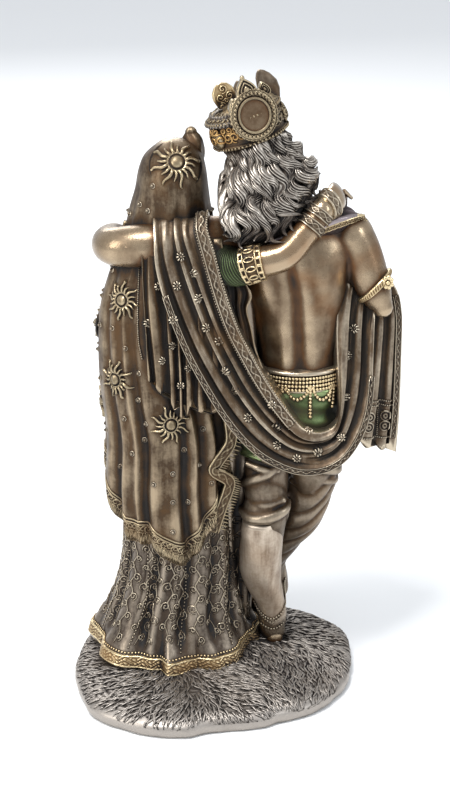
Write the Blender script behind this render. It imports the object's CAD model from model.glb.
import math
import random

import bpy
import numpy as np
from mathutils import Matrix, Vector
from mathutils.bvhtree import BVHTree


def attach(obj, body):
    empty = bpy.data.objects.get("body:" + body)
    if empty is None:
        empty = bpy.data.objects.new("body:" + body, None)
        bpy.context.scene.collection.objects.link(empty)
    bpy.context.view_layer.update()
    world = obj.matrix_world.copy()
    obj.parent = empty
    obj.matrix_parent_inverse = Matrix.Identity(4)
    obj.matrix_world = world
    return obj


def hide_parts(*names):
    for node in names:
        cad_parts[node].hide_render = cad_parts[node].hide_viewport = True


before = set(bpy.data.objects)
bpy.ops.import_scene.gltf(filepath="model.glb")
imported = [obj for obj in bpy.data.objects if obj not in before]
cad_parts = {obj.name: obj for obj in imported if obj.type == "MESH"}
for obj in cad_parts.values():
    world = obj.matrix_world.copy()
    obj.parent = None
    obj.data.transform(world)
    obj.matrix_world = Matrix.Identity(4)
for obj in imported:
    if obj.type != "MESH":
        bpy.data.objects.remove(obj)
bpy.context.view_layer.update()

# The pose is laid out in units of a 250th of the statue's height, as in the CAD
statueHeight = 0.250
unit = statueHeight / 250
groundUnits = 12.0
groupShift = -4.0
moundSizes = {"width": 0.1152, "depth": 0.0985, "rimHeight": 0.0060, "height": 0.0120, "footSink": 0.0010}
random.seed(7)
shapesOf = {}


# curves and closed forms

def through(rows, count):
    rows = np.asarray(rows, float)
    padded = np.vstack([2 * rows[0] - rows[1], rows, 2 * rows[-1] - rows[-2]])
    places = np.linspace(0, len(rows) - 1, count)
    start = np.minimum(places.astype(int), len(rows) - 2)
    t = (places - start)[:, None]
    a, b, c, d = (padded[start + k] for k in range(4))
    return 0.5 * (2 * b + (c - a) * t + (2 * a - 5 * b + 4 * c - d) * t ** 2
                  + (3 * b - a - 3 * c + d) * t ** 3)


def between(levels, z):
    table = np.asarray(levels, float)
    fine = through(table, 12 * len(table))
    order = np.argsort(fine[:, 0])
    return [np.interp(z, fine[order, 0], fine[order, k]) for k in range(1, table.shape[1])]


def unitVector(v):
    return v / np.maximum(np.linalg.norm(v, axis=-1, keepdims=True), 1e-9)


def circle(count):
    return np.linspace(0, 2 * math.pi, count, endpoint=False)


def bump(value, middle, width):
    return np.exp(-((value - middle) / width) ** 2)


def ramp(value, low, high):
    t = np.clip((value - low) / (high - low), 0, 1)
    return t * t * (3 - 2 * t)


def ridges(places, s, width):
    height = np.zeros_like(np.asarray(s, float))
    for place, size in places:
        height = np.maximum(height, size * np.exp(-((s - place) / width) ** 2))
    return height


def lapped(s, edges, sizes=None):
    height = np.zeros_like(np.asarray(s, float))
    for k, (low, high) in enumerate(zip(edges[:-1], edges[1:])):
        q = (s - low) / (high - low)
        inside = (q >= 0) & (q < 1)
        size = 1 if sizes is None else sizes[k]
        height = np.where(inside, size * ramp(q, 0, 0.26) * (1 - 0.9 * ramp(q, 0.45, 1.0)), height)
    return height


def lofted(rings):
    rings = np.asarray(rings, float)
    m, n = rings.shape[:2]
    points = np.vstack([rings.reshape(-1, 3), rings[0].mean(0), rings[-1].mean(0)])
    i, j = np.meshgrid(np.arange(m - 1), np.arange(n), indexing="ij")
    k = (j + 1) % n
    quads = np.stack([i * n + j, i * n + k, (i + 1) * n + k, (i + 1) * n + j], -1).reshape(-1, 4)
    j = np.arange(n)
    k = (j + 1) % n
    caps = [(m * n, b, a) for a, b in zip(j, k)]
    caps += [(m * n + 1, (m - 1) * n + a, (m - 1) * n + b) for a, b in zip(j, k)]
    return points, [tuple(q) for q in quads.tolist()] + [tuple(int(v) for v in c) for c in caps]


def limb(rows, steps=24, sides=16, roundEnds=(True, True), swell=None):
    rows = np.asarray(rows, float)
    if rows.shape[1] == 4:
        rows = np.hstack([rows, rows[:, 3:]])
    path = through(rows, steps)
    centre, sideR, depthR = path[:, :3], path[:, 3], path[:, 4]
    along = unitVector(np.gradient(centre, axis=0))
    side = np.cross(along[0], (0, 1, 0))
    if np.linalg.norm(side) < 0.3:
        side = np.cross(along[0], (0, 0, 1))
    frames = []
    for direction in along:
        side = unitVector(side - direction * (side @ direction))
        frames.append((side, np.cross(side, direction)))
    turn = circle(sides)

    def ring(i, scale, shift):
        s, d = frames[i]
        middle = centre[i] + along[i] * shift
        if swell is not None:
            scale = scale * swell(turn, i / (steps - 1))
        return middle + np.outer(np.cos(turn) * sideR[i] * scale,
            s) + np.outer(np.sin(turn) * depthR[i] * scale, d)

    rings = [ring(i, 1.0, 0.0) for i in range(steps)]
    bends = np.radians([80, 62, 45, 30, 15])
    if roundEnds[0]:
        r = min(sideR[0], depthR[0])
        rings = [ring(0, math.cos(b), -r * math.sin(b)) for b in bends] + rings
    if roundEnds[1]:
        r = min(sideR[-1], depthR[-1])
        rings += [ring(steps - 1, math.cos(b), r * math.sin(b)) for b in bends[::-1]]
    return lofted(rings)


def ball(centre, radii, sides=20):
    turn = circle(sides)
    rings = []
    for level in np.linspace(-math.pi / 2 + 0.12, math.pi / 2 - 0.12, max(4, sides // 2)):
        x = radii[0] * math.cos(level) * np.cos(turn)
        y = radii[1] * math.cos(level) * np.sin(turn)
        z = np.full(sides, radii[2] * math.sin(level))
        rings.append(np.stack([x, y, z], 1) + np.asarray(centre, float))
    return lofted(rings)


def column(levels, steps=40, sides=28, ripple=None, carve=None):
    z = np.linspace(levels[0][0], levels[-1][0], steps)
    cx, cy, a, b = between(levels, z)
    turn = circle(sides)
    rings = []
    for i in range(steps):
        swell = 1.0 if ripple is None else 1.0 + ripple(turn, z[i])
        ring = np.stack([
            cx[i] + a[i] * np.cos(turn) * swell,
            cy[i] + b[i] * np.sin(turn) * swell,
            np.full(sides, z[i]),
        ], 1)
        rings.append(ring if carve is None else carve(ring))
    return lofted(rings)


def sheet(left, right, outward, fold, thick, across=24, along=30, drop=None):
    left, right = through(left, along), through(right, along)
    outward = unitVector(through(outward, along))
    s = np.linspace(0, 1, across)
    t = np.linspace(0, 1, along)
    rings = []
    for i in range(along):
        base = left[i] + np.outer(s, right[i] - left[i])
        if drop is not None:
            base[:, 2] -= drop(s) * t[i] ** 2
        front = base + np.outer(fold(s, t[i]), outward[i])
        back = (base - outward[i] * thick)[::-6]
        rings.append(np.vstack([front, back]))
    return lofted(rings)


def joined(shapes):
    points, faces, first = [], [], 0
    for shapePoints, shapeFaces in shapes:
        points.append(shapePoints)
        faces += [tuple(first + i for i in face) for face in shapeFaces]
        first += len(shapePoints)
    return np.vstack(points), faces


def outwards(shape):
    points, faces = shape
    p = np.asarray(points)
    a = p[[f[0] for f in faces]]
    b = p[[f[1] for f in faces]]
    c = p[[f[2] for f in faces]]
    d = p[[f[-1] for f in faces]]
    volume = np.einsum("ij,ij->i", a, np.cross(b, c)).sum() + np.einsum("ij,ij->i", a, np.cross(c, d)).sum()
    return shape if volume > 0 else (points, [face[::-1] for face in faces])


def swept(path, normals, outline):
    path, normals = np.asarray(path, float), np.asarray(normals, float)
    along = unitVector(np.gradient(path, axis=0))
    across = unitVector(np.cross(along, normals))
    up = np.cross(across, along)
    rings = []
    for i in range(len(path)):
        flat = np.asarray(outline(i / (len(path) - 1)), float)
        rings.append(path[i] + flat[:, :1] * across[i] + flat[:, 1:] * up[i])
    return lofted(rings)


def fused(shapes, grain, soften=3):
    points, faces = joined([outwards(shape) for shape in shapes])
    mesh = bpy.data.meshes.new("fusing")
    mesh.from_pydata(toMetres(points).tolist(), [], faces)
    body = bpy.data.objects.new("fusing", mesh)
    bpy.context.scene.collection.objects.link(body)
    remesh = body.modifiers.new("grain", "REMESH")
    remesh.mode = "VOXEL"
    remesh.voxel_size = grain
    smooth = body.modifiers.new("soften", "SMOOTH")
    smooth.iterations = soften
    evaluated = body.evaluated_get(bpy.context.evaluated_depsgraph_get())
    result = evaluated.to_mesh()
    made = np.empty(len(result.vertices) * 3)
    result.vertices.foreach_get("co", made)
    quads = [tuple(face.vertices) for face in result.polygons]
    evaluated.to_mesh_clear()
    bpy.data.objects.remove(body)
    return made.reshape(-1, 3), quads


def toMetres(points):
    lift = moundSizes["height"] - moundSizes["footSink"]
    rise = (statueHeight - lift) / (250 - groundUnits)
    high = (points[:, 2:] - groundUnits) * rise + lift
    return np.hstack([(points[:, :1] + groupShift) * unit, points[:, 1:2] * unit, high])


# pieces: one mesh each, with how far every point stands out of its surroundings kept for the patina

meshLook = {"leave": 9000, "share": 0.37}


def standOut(mesh, rounds):
    count = len(mesh.vertices)
    at = np.empty(count * 3)
    mesh.vertices.foreach_get("co", at)
    at = at.reshape(-1, 3)
    normals = np.empty(count * 3)
    mesh.vertices.foreach_get("normal", normals)
    normals = normals.reshape(-1, 3)
    edges = np.empty(len(mesh.edges) * 2, int)
    mesh.edges.foreach_get("vertices", edges)
    a, b = edges.reshape(-1, 2).T
    links = np.bincount(a, minlength=count) + np.bincount(b, minlength=count)
    links = np.maximum(links, 1)[:, None]
    soft = at.copy()
    for _ in range(rounds):
        total = np.zeros_like(soft)
        for axis in range(3):
            total[:, axis] = np.bincount(a, soft[b, axis], count) + np.bincount(b, soft[a, axis], count)
        soft = 0.5 * soft + 0.5 * total / links
    return np.einsum("ij,ij->i", at - soft, normals)


def thinned(piece):
    mesh = piece.data
    mesh.calc_loop_triangles()
    if len(mesh.loop_triangles) > meshLook["leave"]:
        fewer = piece.modifiers.new("fewer", "DECIMATE")
        fewer.ratio = meshLook["share"]


def makePiece(name, shapes, look, rounds=24, metres=False):
    points, faces = joined([outwards(shape) for shape in shapes])
    if not metres:
        points = toMetres(points)
    shapesOf[name] = (points, faces)
    mesh = bpy.data.meshes.new(name)
    mesh.from_pydata(points.tolist(), [], faces)
    mesh.validate()
    mesh.shade_smooth()
    cavity = mesh.attributes.new("relief", "FLOAT", "POINT")
    cavity.data.foreach_set("value", (standOut(mesh, rounds) * 1000).astype(np.float32))
    piece = bpy.data.objects.new(name, mesh)
    bpy.context.scene.collection.objects.link(piece)
    mesh.materials.append(finish[look])
    thinned(piece)
    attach(piece, "root")
    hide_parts("statue")
    print("made", name, len(faces))


def makeOrnament(name, shapes, look, rounds=3):
    makePiece(name, shapes, look, rounds, True)


# ornaments: seated on the surface that carries them, all in metres

def metresAt(x, y, z):
    return toMetres(np.array([[x, y, z]], float))[0]


def surfaceOf(*names):
    points, faces = joined([shapesOf[name] for name in names])
    return BVHTree.FromPolygons(points.tolist(), faces)


def castOn(tree, start, direction, reach=1.0):
    spot, normal, _, _ = tree.ray_cast(Vector(start), Vector(direction).normalized(), reach)
    if spot is None:
        return None
    normal = np.array(normal)
    if normal @ np.array(direction) > 0:
        normal = -normal
    return np.array(spot), normal


def fromBehind(tree, x, z, side=1):
    return castOn(tree, metresAt(x, 90 * side, z), (0, -side, 0))


def towards(tree, start, goal):
    start, goal = metresAt(*start), metresAt(*goal)
    return castOn(tree, start, goal - start)


def laidRound(tree, levels, degrees, z):
    cx, cy, _, _ = between(levels, np.array([z]))
    out = np.array((math.cos(math.radians(degrees)), math.sin(math.radians(degrees)), 0))
    return castOn(tree, metresAt(cx[0], cy[0], z) + 0.08 * out, -out)


def parted(hits):
    hits = [hit for hit in hits if hit is not None]
    return np.array([hit[0] for hit in hits]), np.array([hit[1] for hit in hits])


def traced(tree, rows, side=1, steps=8):
    return parted(fromBehind(tree, x, z, side) for x, z in through(rows, steps * (len(rows) - 1) + 1))


def tracedRound(tree, levels, rows, steps=8):
    return parted(laidRound(tree, levels, *row) for row in through(rows, steps * (len(rows) - 1) + 1))


def softened(values, rounds=2):
    values = np.asarray(values, float)
    for _ in range(rounds):
        values = np.vstack([values[:1], (values[:-2] + 2 * values[1:-1] + values[2:]) / 4, values[-1:]])
    return values


def wire(path, normals, thick, taper=0.0):
    path = path + normals * thick * 0.25
    turn = circle(6)
    shape = np.stack([np.cos(turn), np.sin(turn)], 1) * thick
    return swept(path, softened(normals), lambda t: shape * (1 - taper * abs(2 * t - 1) ** 2))


def wired(hits, least, thick, taper):
    path, normals = parted(hits)
    return [wire(path, normals, thick, taper=taper)] if len(path) > least else []


def strip(path, normals, width, pattern, thick=0.0007, across=14):
    steps = np.linalg.norm(np.diff(path, axis=0), axis=1)
    travel = np.concatenate([[0], np.cumsum(steps)])
    s = np.linspace(-1, 1, across)

    def outline(t):
        far = np.interp(t, np.linspace(0, 1, len(travel)), travel)
        top = np.stack([s * width / 2, pattern(s, far / width)], 1)
        low = np.stack([s[::-4] * width / 2, np.full(len(s[::-4]), -thick)], 1)
        return np.vstack([top, low])

    return swept(path, softened(normals, 6), outline)


def evenly(path, normals, gap):
    travel = np.concatenate([[0], np.cumsum(np.linalg.norm(np.diff(path, axis=0), axis=1))])
    places = np.arange(gap / 2, travel[-1], gap)
    spots = np.stack([np.interp(places, travel, path[:, k]) for k in range(3)], 1)
    return spots, unitVector(np.stack([np.interp(places, travel, normals[:, k]) for k in range(3)], 1))


def beadsAlong(path, normals, size, gap=None, proud=0.4):
    spots, ways = evenly(path, normals, gap or 2.0 * size)
    return [ball(spot + way * size * proud, (size, size, size), sides=8) for spot, way in zip(spots, ways)]


def medal(tree, spot, normal, size, heights, sides=48, rings=12, spin=0.0):
    normal = unitVector(np.asarray(normal, float))
    first = np.cross(normal, (0, 0, 1) if abs(normal[2]) < 0.9 else (0, 1, 0))
    first = unitVector(first)
    second = np.cross(normal, first)
    turn = circle(sides)
    made = []
    for r in np.linspace(1.0, 0.03, rings):
        flat = spot + size * r * (np.outer(np.cos(turn), first) + np.outer(np.sin(turn), second))
        laid = []
        for point in flat:
            hit = castOn(tree, point + normal * size * 0.8, -normal, 1.6 * size)
            laid.append(point if hit is None else hit[0])
        laid = np.array(laid)
        sunk = (laid - spot) @ normal
        laid += np.outer(np.maximum(-size * (0.03 + 0.36 * r * r) - sunk, 0), normal)
        if not made:
            made.append(laid - normal * 0.0006)
        raised = heights(np.full(sides, r), turn + spin)
        made.append(laid + np.outer(np.where(raised < 0.00007, -0.0016, raised), normal))
    return lofted(made)


def medals(tree, hits, size, heights, sides, rings):
    return [medal(tree, *hit, size, heights, sides=sides, rings=rings) for hit in hits if hit is not None]


def spiral(size, turns, start, hand=1, points=26):
    t = np.linspace(0, 1, points)
    angle = start + hand * 2 * math.pi * turns * t
    reach = size * (1 - 0.86 * t)
    return np.stack([reach * np.cos(angle), reach * np.sin(angle)], 1)


def sunHeights(r, a):
    boss = 0.0013 * np.sqrt(np.maximum(1 - (r / 0.27) ** 2, 0))
    ring = 0.0009 * bump(r, 0.345, 0.030)
    place = 16 * (a + 0.085 * np.sin(9 * r)) / (2 * math.pi)
    off = np.mod(place, 1) - 0.5
    reach = 0.87 + 0.13 * np.cos(math.pi * np.floor(place))
    half = 0.49 * np.clip((reach - r) / (reach - 0.36), 0.001, 1) ** 0.8
    flame = 0.0011 * np.sqrt(np.maximum(1 - (off / half) ** 2, 0)) * (r > 0.39) * (r < reach)
    return np.maximum(np.maximum(boss, ring), flame)


def rosetteHeights(r, a):
    petals = 0.00075 * np.clip(np.cos(8 * a) * 1.3 + 0.55, 0, 1) * bump(r, 0.6, 0.28)
    return np.maximum(petals, 0.0008 * np.sqrt(np.maximum(1 - (r / 0.3) ** 2, 0)))


def studHeights(r, a):
    rim = 0.0004 * bump(r, 0.78, 0.12)
    return np.maximum(rim, 0.0011 * np.sqrt(np.maximum(1 - (r / 0.62) ** 2, 0)))


def ringHeights(r, a):
    return 0.0007 * np.maximum(bump(r, 0.8, 0.14), bump(r, 0.35, 0.2))


def scrollBand(s, d):
    rails = 0.00042 * np.maximum(bump(s, -0.9, 0.13), bump(s, 0.9, 0.13))
    wave = bump(s - 0.42 * np.sin(3.4 * d), 0, 0.17)
    curl = bump(s + 0.45 * np.sin(3.4 * d), 0, 0.15) * (0.5 + 0.5 * np.cos(6.8 * d))
    return np.maximum(rails, 0.00042 * np.maximum(wave, curl))


def windowBand(s, d):
    rails = np.maximum(bump(np.abs(s), 0.93, 0.09), bump(np.abs(s), 0.55, 0.09))
    squares = 0.95 * (np.abs(s) > 0.6) * ramp(np.cos(16 * d), 0.0, 0.6)
    ovals = (np.abs(s) < 0.55) * bump(np.sqrt((s / 0.46) ** 2 + (np.sin(6.4 * d) / 0.72) ** 2), 0.95, 0.22)
    return 0.0009 * np.maximum(rails, np.maximum(squares, ovals)) - 0.0003


def filigree(s, d):
    rails = bump(np.abs(s), 0.92, 0.10)
    curls = np.abs(np.sin(7 * d + 2.4 * np.sin(4 * s)) * np.cos(5 * s + 1.8 * np.sin(3.5 * d)))
    return 0.0005 * np.maximum(rails, 0.9 * curls)


def ropeBand(s, d):
    twist = 0.5 + 0.5 * np.cos(9 * d + 3.4 * s)
    return 0.0006 * np.sqrt(np.maximum(1 - s ** 2, 0)) * (0.5 + 0.5 * twist)


def cuff(rows, low, high, lift, pattern, steps=30, sides=120):
    rows = np.asarray(rows, float)
    if rows.shape[1] == 4:
        rows = np.hstack([rows, rows[:, 3:]])
    fine = through(rows, 400)
    part = fine[int(low * 399):int(high * 399) + 1].copy()
    part[:, 3:] += lift
    radius = part[:, 3].mean()
    wide = np.linalg.norm(part[-1, :3] - part[0, :3])

    def swell(turn, t):
        return 1 + pattern(np.full(len(turn), 2 * t - 1), turn * radius / wide) * 1000 / radius

    return limb(part, steps=steps, sides=sides, roundEnds=(False, False), swell=swell)


# finishes: dark wash in the hollows, bare metal where the surface stands proud

finishes = {
    "skin": {"hollow": (0.022, 0.012, 0.006), "plain": (0.100, 0.062, 0.034), "proud": (0.41, 0.315, 0.21),
             "patch": 0.85, "tint": (0.20, 0.080, 0.020), "gain": 1.0, "blotch": 0.75, "rough": (0.20, 0.36),
             "grain": 0.10, "streak": 0.10},
    "cloth": {"hollow": (0.010, 0.0075, 0.006), "plain": (0.052, 0.0315, 0.0165),
              "proud": (0.33, 0.255, 0.170), "tint": (0.135, 0.064, 0.017), "gain": 1.3, "blotch": 0.95,
              "rough": (0.30, 0.52), "grain": 0.25, "streak": 0.5},
    "shawl": {"slot": "cloth", "hollow": (0.020, 0.015, 0.011), "plain": (0.120, 0.088, 0.060),
              "proud": (0.52, 0.44, 0.33), "blotch": 0.8, "tint": (0.16, 0.085, 0.030), "gain": 1.0,
              "grain": 0.25, "streak": 0.5},
    "skirt": {"slot": "cloth", "hollow": (0.008, 0.007, 0.007), "plain": (0.050, 0.037, 0.028),
              "proud": (0.30, 0.25, 0.195), "tint": (0.085, 0.050, 0.024), "gain": 1.5,
              "rough": (0.32, 0.52), "grain": 0.3, "streak": 0.6},
    "trousers": {"slot": "cloth", "hollow": (0.012, 0.008, 0.006), "plain": (0.075, 0.052, 0.034),
                 "proud": (0.33, 0.27, 0.20), "tint": (0.15, 0.080, 0.030), "gain": 1.6,
                 "rough": (0.28, 0.48), "grain": 0.25, "streak": 0.35},
    "flap": {"slot": "cloth", "hollow": (0.045, 0.030, 0.020), "plain": (0.27, 0.205, 0.150),
             "proud": (0.60, 0.51, 0.41), "tint": (0.26, 0.165, 0.090), "gain": 1.3, "rough": (0.38, 0.55),
             "grain": 0.35, "streak": 0.8},
    "hair": {"hollow": (0.006, 0.005, 0.005), "plain": (0.098, 0.083, 0.070), "proud": (0.52, 0.47, 0.41),
             "tint": (0.120, 0.082, 0.055), "gain": 1.5, "rough": (0.32, 0.5), "grain": 0.15,
             "streak": 0.15},
    "gold": {"hollow": (0.018, 0.011, 0.006), "plain": (0.26, 0.172, 0.080), "proud": (0.72, 0.58, 0.35),
             "tint": (0.28, 0.155, 0.055), "gain": 3.0, "rough": (0.28, 0.46)},
    "amber": {"slot": "gold", "hollow": (0.012, 0.007, 0.004), "plain": (0.17, 0.080, 0.020),
              "proud": (0.50, 0.32, 0.13), "tint": (0.24, 0.095, 0.016), "gain": 2.4, "rough": (0.28, 0.46)},
    "crown": {"slot": "bronze", "hollow": (0.011, 0.008, 0.006), "plain": (0.085, 0.060, 0.034),
              "proud": (0.41, 0.33, 0.21), "tint": (0.15, 0.075, 0.025), "gain": 2.0},
    "relief": {"slot": "bronze", "hollow": (0.012, 0.009, 0.007), "plain": (0.115, 0.088, 0.060),
               "proud": (0.48, 0.41, 0.31), "tint": (0.17, 0.100, 0.045), "gain": 2.4},
    "green": {"hollow": (0.008, 0.010, 0.006), "plain": (0.034, 0.064, 0.019), "proud": (0.22, 0.28, 0.13),
              "tint": (0.07, 0.065, 0.022), "gain": 1.3, "rough": (0.30, 0.48), "streak": 0.1},
    "mantle": {"hollow": (0.020, 0.014, 0.016), "plain": (0.105, 0.078, 0.088), "proud": (0.32, 0.27, 0.275),
               "tint": (0.17, 0.11, 0.10), "gain": 1.3, "streak": 0.1},
    "grass": {"hollow": (0.012, 0.010, 0.010), "plain": (0.085, 0.073, 0.066), "proud": (0.38, 0.345, 0.31),
              "tint": (0.095, 0.070, 0.050), "gain": 2.0, "rough": (0.44, 0.7), "grain": 0.3},
}
usual = {"rough": (0.30, 0.50), "grain": 0.2, "streak": 0.0, "blotch": 0.55, "patch": 0.55}


def finishMaterial(name):
    look = {**usual, **finishes[name]}
    made = bpy.data.materials.new(name + "Finish")
    made.use_nodes = True
    nodes, links = made.node_tree.nodes, made.node_tree.links
    shader = nodes["Principled BSDF"]
    place = nodes.new("ShaderNodeTexCoord")

    def calc(kind, a, b, clamp=False):
        node = nodes.new("ShaderNodeMath")
        node.operation = kind
        node.use_clamp = clamp
        for socket, value in zip(node.inputs, (a, b)):
            if isinstance(value, (int, float)):
                socket.default_value = value
            else:
                links.new(value, socket)
        return node.outputs[0]

    def noise(scale, detail, rough=0.55, where=None):
        node = nodes.new("ShaderNodeTexNoise")
        for socket, value in (("Scale", scale), ("Detail", detail), ("Roughness", rough)):
            node.inputs[socket].default_value = value
        links.new(where or place.outputs["Object"], node.inputs["Vector"])
        return node.outputs["Fac"]

    def uneven(field, weight):
        return calc("MULTIPLY", calc("SUBTRACT", field, 0.5), weight)

    def between01(low, high):
        node = nodes.new("ShaderNodeMapRange")
        node.inputs["To Min"].default_value = low
        node.inputs["To Max"].default_value = high
        links.new(value, node.inputs["Value"])
        return node.outputs["Result"]

    relief = nodes.new("ShaderNodeAttribute")
    relief.attribute_name = "relief"
    shade = nodes.new("ShaderNodeAmbientOcclusion")
    shade.samples = 8
    shade.inputs["Distance"].default_value = 0.005
    grain = noise(900.0, 2.0)
    stretched = nodes.new("ShaderNodeMapping")
    stretched.inputs["Scale"].default_value = (1.0, 1.0, 0.10)
    links.new(place.outputs["Object"], stretched.inputs["Vector"])
    # how far a place stands proud: its relief, less what its neighbours shade, and a little unevenness
    value = calc("MULTIPLY", relief.outputs["Fac"], look["gain"])
    value = calc("ADD", value, calc("MULTIPLY", calc("SUBTRACT", shade.outputs["AO"], 0.92), 1.5))
    value = calc("ADD", value, uneven(noise(95.0, 4.0), look["blotch"]))
    value = calc("ADD", value, uneven(grain, look["grain"]))
    value = calc("ADD", value, uneven(noise(420.0, 3.0, 0.6, stretched.outputs["Vector"]), look["streak"]))
    value = calc("ADD", value, 0.40, clamp=True)
    colour = nodes.new("ShaderNodeValToRGB")
    stops = colour.color_ramp.elements
    stops[0].position, stops[0].color = 0.08, (*look["hollow"], 1)
    stops[1].position, stops[1].color = 0.92, (*look["proud"], 1)
    stops.new(0.46).color = (*look["plain"], 1)
    stops.new(0.27).color = (*(0.55 * t for t in look["tint"]), 1)
    links.new(value, colour.inputs["Fac"])
    warm = nodes.new("ShaderNodeMix")
    warm.data_type = "RGBA"
    patch = calc("MULTIPLY", calc("SUBTRACT", noise(38.0, 3.0), 0.52), 4.0, clamp=True)
    links.new(calc("MULTIPLY", patch, look["patch"]), warm.inputs["Factor"])
    links.new(colour.outputs["Color"], warm.inputs["A"])
    warm.inputs["B"].default_value = (*look["tint"], 1)
    links.new(warm.outputs["Result"], shader.inputs["Base Color"])
    smoothLow, smoothHigh = look["rough"]
    rough = between01(smoothHigh + 0.12, smoothLow)
    links.new(calc("ADD", rough, uneven(grain, 0.18)), shader.inputs["Roughness"])
    links.new(between01(0.45, 0.95), shader.inputs["Metallic"])
    dent = nodes.new("ShaderNodeBump")
    dent.inputs["Strength"].default_value = 0.18
    dent.inputs["Distance"].default_value = 0.0003
    links.new(calc("ADD", grain, calc("MULTIPLY", noise(2600.0, 2.0), 0.5)), dent.inputs["Height"])
    links.new(dent.outputs["Normal"], shader.inputs["Normal"])
    return made


finish = {name: finishMaterial(name) for name in finishes}
print("finishes ready")


# the mound and its grass

moundOutline = (
    (7, 1.01), (22, 1.02), (35, 1.05), (50, 1.01), (64, 0.97), (77, 0.91), (86, 0.83), (100, 0.81),
    (114, 0.83), (124, 0.82), (138, 0.89), (159, 0.94), (188, 1.00), (206, 1.07), (218, 1.05), (231, 1.02),
    (266, 0.90), (297, 1.00), (323, 1.05), (348, 1.01),
)
moundLook = {"sides": 300, "rimBumps": 0.0006, "blades": 2700, "bladeLength": (0.0055, 0.0095),
             "bladeWidth": 0.00042,
             "bladeHeight": 0.00068}


def moundRadius(degrees):
    outline = np.array(moundOutline)
    looped = np.vstack([outline[-2:] - (360, 0), outline, outline[:2] + (360, 0)])
    fine = through(looped, 24 * len(looped))
    return np.interp(np.mod(degrees, 360), fine[:, 0], fine[:, 1]) * moundSizes["width"] / 2


def moundTop(share):
    rim, top = moundSizes["rimHeight"], moundSizes["height"]
    side = np.interp(share, (0.965, 0.98, 0.992, 1.0), (0, 0.08 * rim, 0.2 * rim, 0.55 * rim))
    return rim + (top - rim) * np.maximum(1 - (share / 0.965) ** 2, 0) ** 0.7 - side


def makeMound():
    sides = moundLook["sides"]
    turn = np.linspace(0, 360, sides, endpoint=False)
    radius = moundRadius(turn)
    deep = moundSizes["depth"] / (moundSizes["width"] * 0.856)
    rim = moundSizes["rimHeight"]
    shares = [(0.955, 0.0), (0.972, 0.0003), (0.985, 0.12 * rim), (0.996, 0.3 * rim), (1.0, 0.45 * rim),
              (0.998, 0.62 * rim), (0.992, 0.8 * rim), (0.98, 0.92 * rim), (0.965, rim)]
    shares += [(s, moundTop(s)) for s in np.linspace(0.955, 0.06, 44)]
    rings = []
    for k, (share, z) in enumerate(shares):
        a = np.radians(turn)
        lump = np.sin(9 * a + 1) * 0.4 + np.sin(17 * a + 2.2) * 0.3 + np.sin(31 * a + 0.7 * k) * 0.2
        out = radius * share + moundLook["rimBumps"] * lump * (1 if 1 < k < 9 else 0)
        top = np.full(sides, z) + (0.00022 * np.sin(23 * a + 3 * k) if k > 8 else 0)
        rings.append(np.stack([out * np.cos(a), out * np.sin(a) * deep, top], 1))
    makePiece("moundBase", [lofted(rings)], "grass", metres=True)

    blades = []
    for _ in range(moundLook["blades"]):
        angle = random.uniform(0, 360)
        share = math.sqrt(random.uniform(0.03, 0.93))
        length = random.uniform(*moundLook["bladeLength"])
        a = math.radians(angle)
        radius = float(moundRadius(angle)) * share
        x, y = radius * math.cos(a), radius * math.sin(a) * deep
        flow = math.atan2(y + 0.012, x - 0.002) + 0.5 * math.sin(70 * x + 1.3)
        flow += 0.45 * math.sin(80 * y + 60 * x)
        flow += random.uniform(-0.16, 0.16)
        curl = random.uniform(-0.10, 0.10) + 0.09 * math.sin(130 * x + 90 * y)
        rings = []
        phase = random.uniform(0, 6.3)
        steps = 7
        for k in range(steps):
            t = k / (steps - 1)
            r = math.hypot(x, y / deep)
            here = r / float(moundRadius(math.degrees(math.atan2(y / deep, x))))
            if here > 0.994:
                x, y, here = x * 0.994 / here, y * 0.994 / here, 0.994
            arch = math.sin(math.pi * (0.15 + 0.8 * t))
            z = float(moundTop(here)) + moundLook["bladeHeight"] * arch - 0.0002
            wide = moundLook["bladeWidth"] * (1.15 - t) * (0.5 + 1.0 * min(1, 3 * t + 0.4))
            across = np.array((-math.sin(flow), math.cos(flow), 0))
            centre = np.array((x, y, z))
            low = np.array((0, 0, moundLook["bladeHeight"] * 1.2))
            crest = centre + across * wide * 0.1 + low * 0.35
            rings.append([centre + across * wide, crest, centre - across * wide, centre - low * 0.5])
            x += length / steps * math.cos(flow)
            y += length / steps * math.sin(flow)
            flow += curl + 0.30 * math.cos(7 * t + phase)
        blades.append(lofted(rings))
    makeOrnament("grassBlades", blades, "grass")


makeMound()


# her figure

radhaSkirt = (
    (8.0, 20.8, -16, 33.0, 33.6), (12.5, 20.8, -16, 34.0, 34.6), (18.0, 20.8, -16, 32.4, 32.4),
    (27.0, 20.6, -16, 28.0, 27.6), (38.7, 19.4, -16, 25.0, 24.4), (52.5, 18.4, -16, 23.6, 22.6),
    (75.0, 18.6, -16, 22.2, 20.5), (100.0, 20.0, -16, 18.6, 17.4), (118.0, 20.0, -17, 15.0, 13.0),
    (132.0, 20.0, -18, 11.5, 9.0),
)
radhaTorso = (
    (126, 20, -18, 12.0, 9.0), (134, 20, -18, 11.0, 8.4), (146, 20, -18, 12.4, 9.6),
    (160, 20, -18, 14.5, 11.0), (172, 20, -17, 16.0, 10.5), (181, 20, -16, 16.5, 9.0),
    (188, 19.6, -15.5, 10.5, 7.0), (193, 19.4, -15.5, 5.6, 5.6), (203, 19.0, -16.5, 5.2, 5.4),
)
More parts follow.
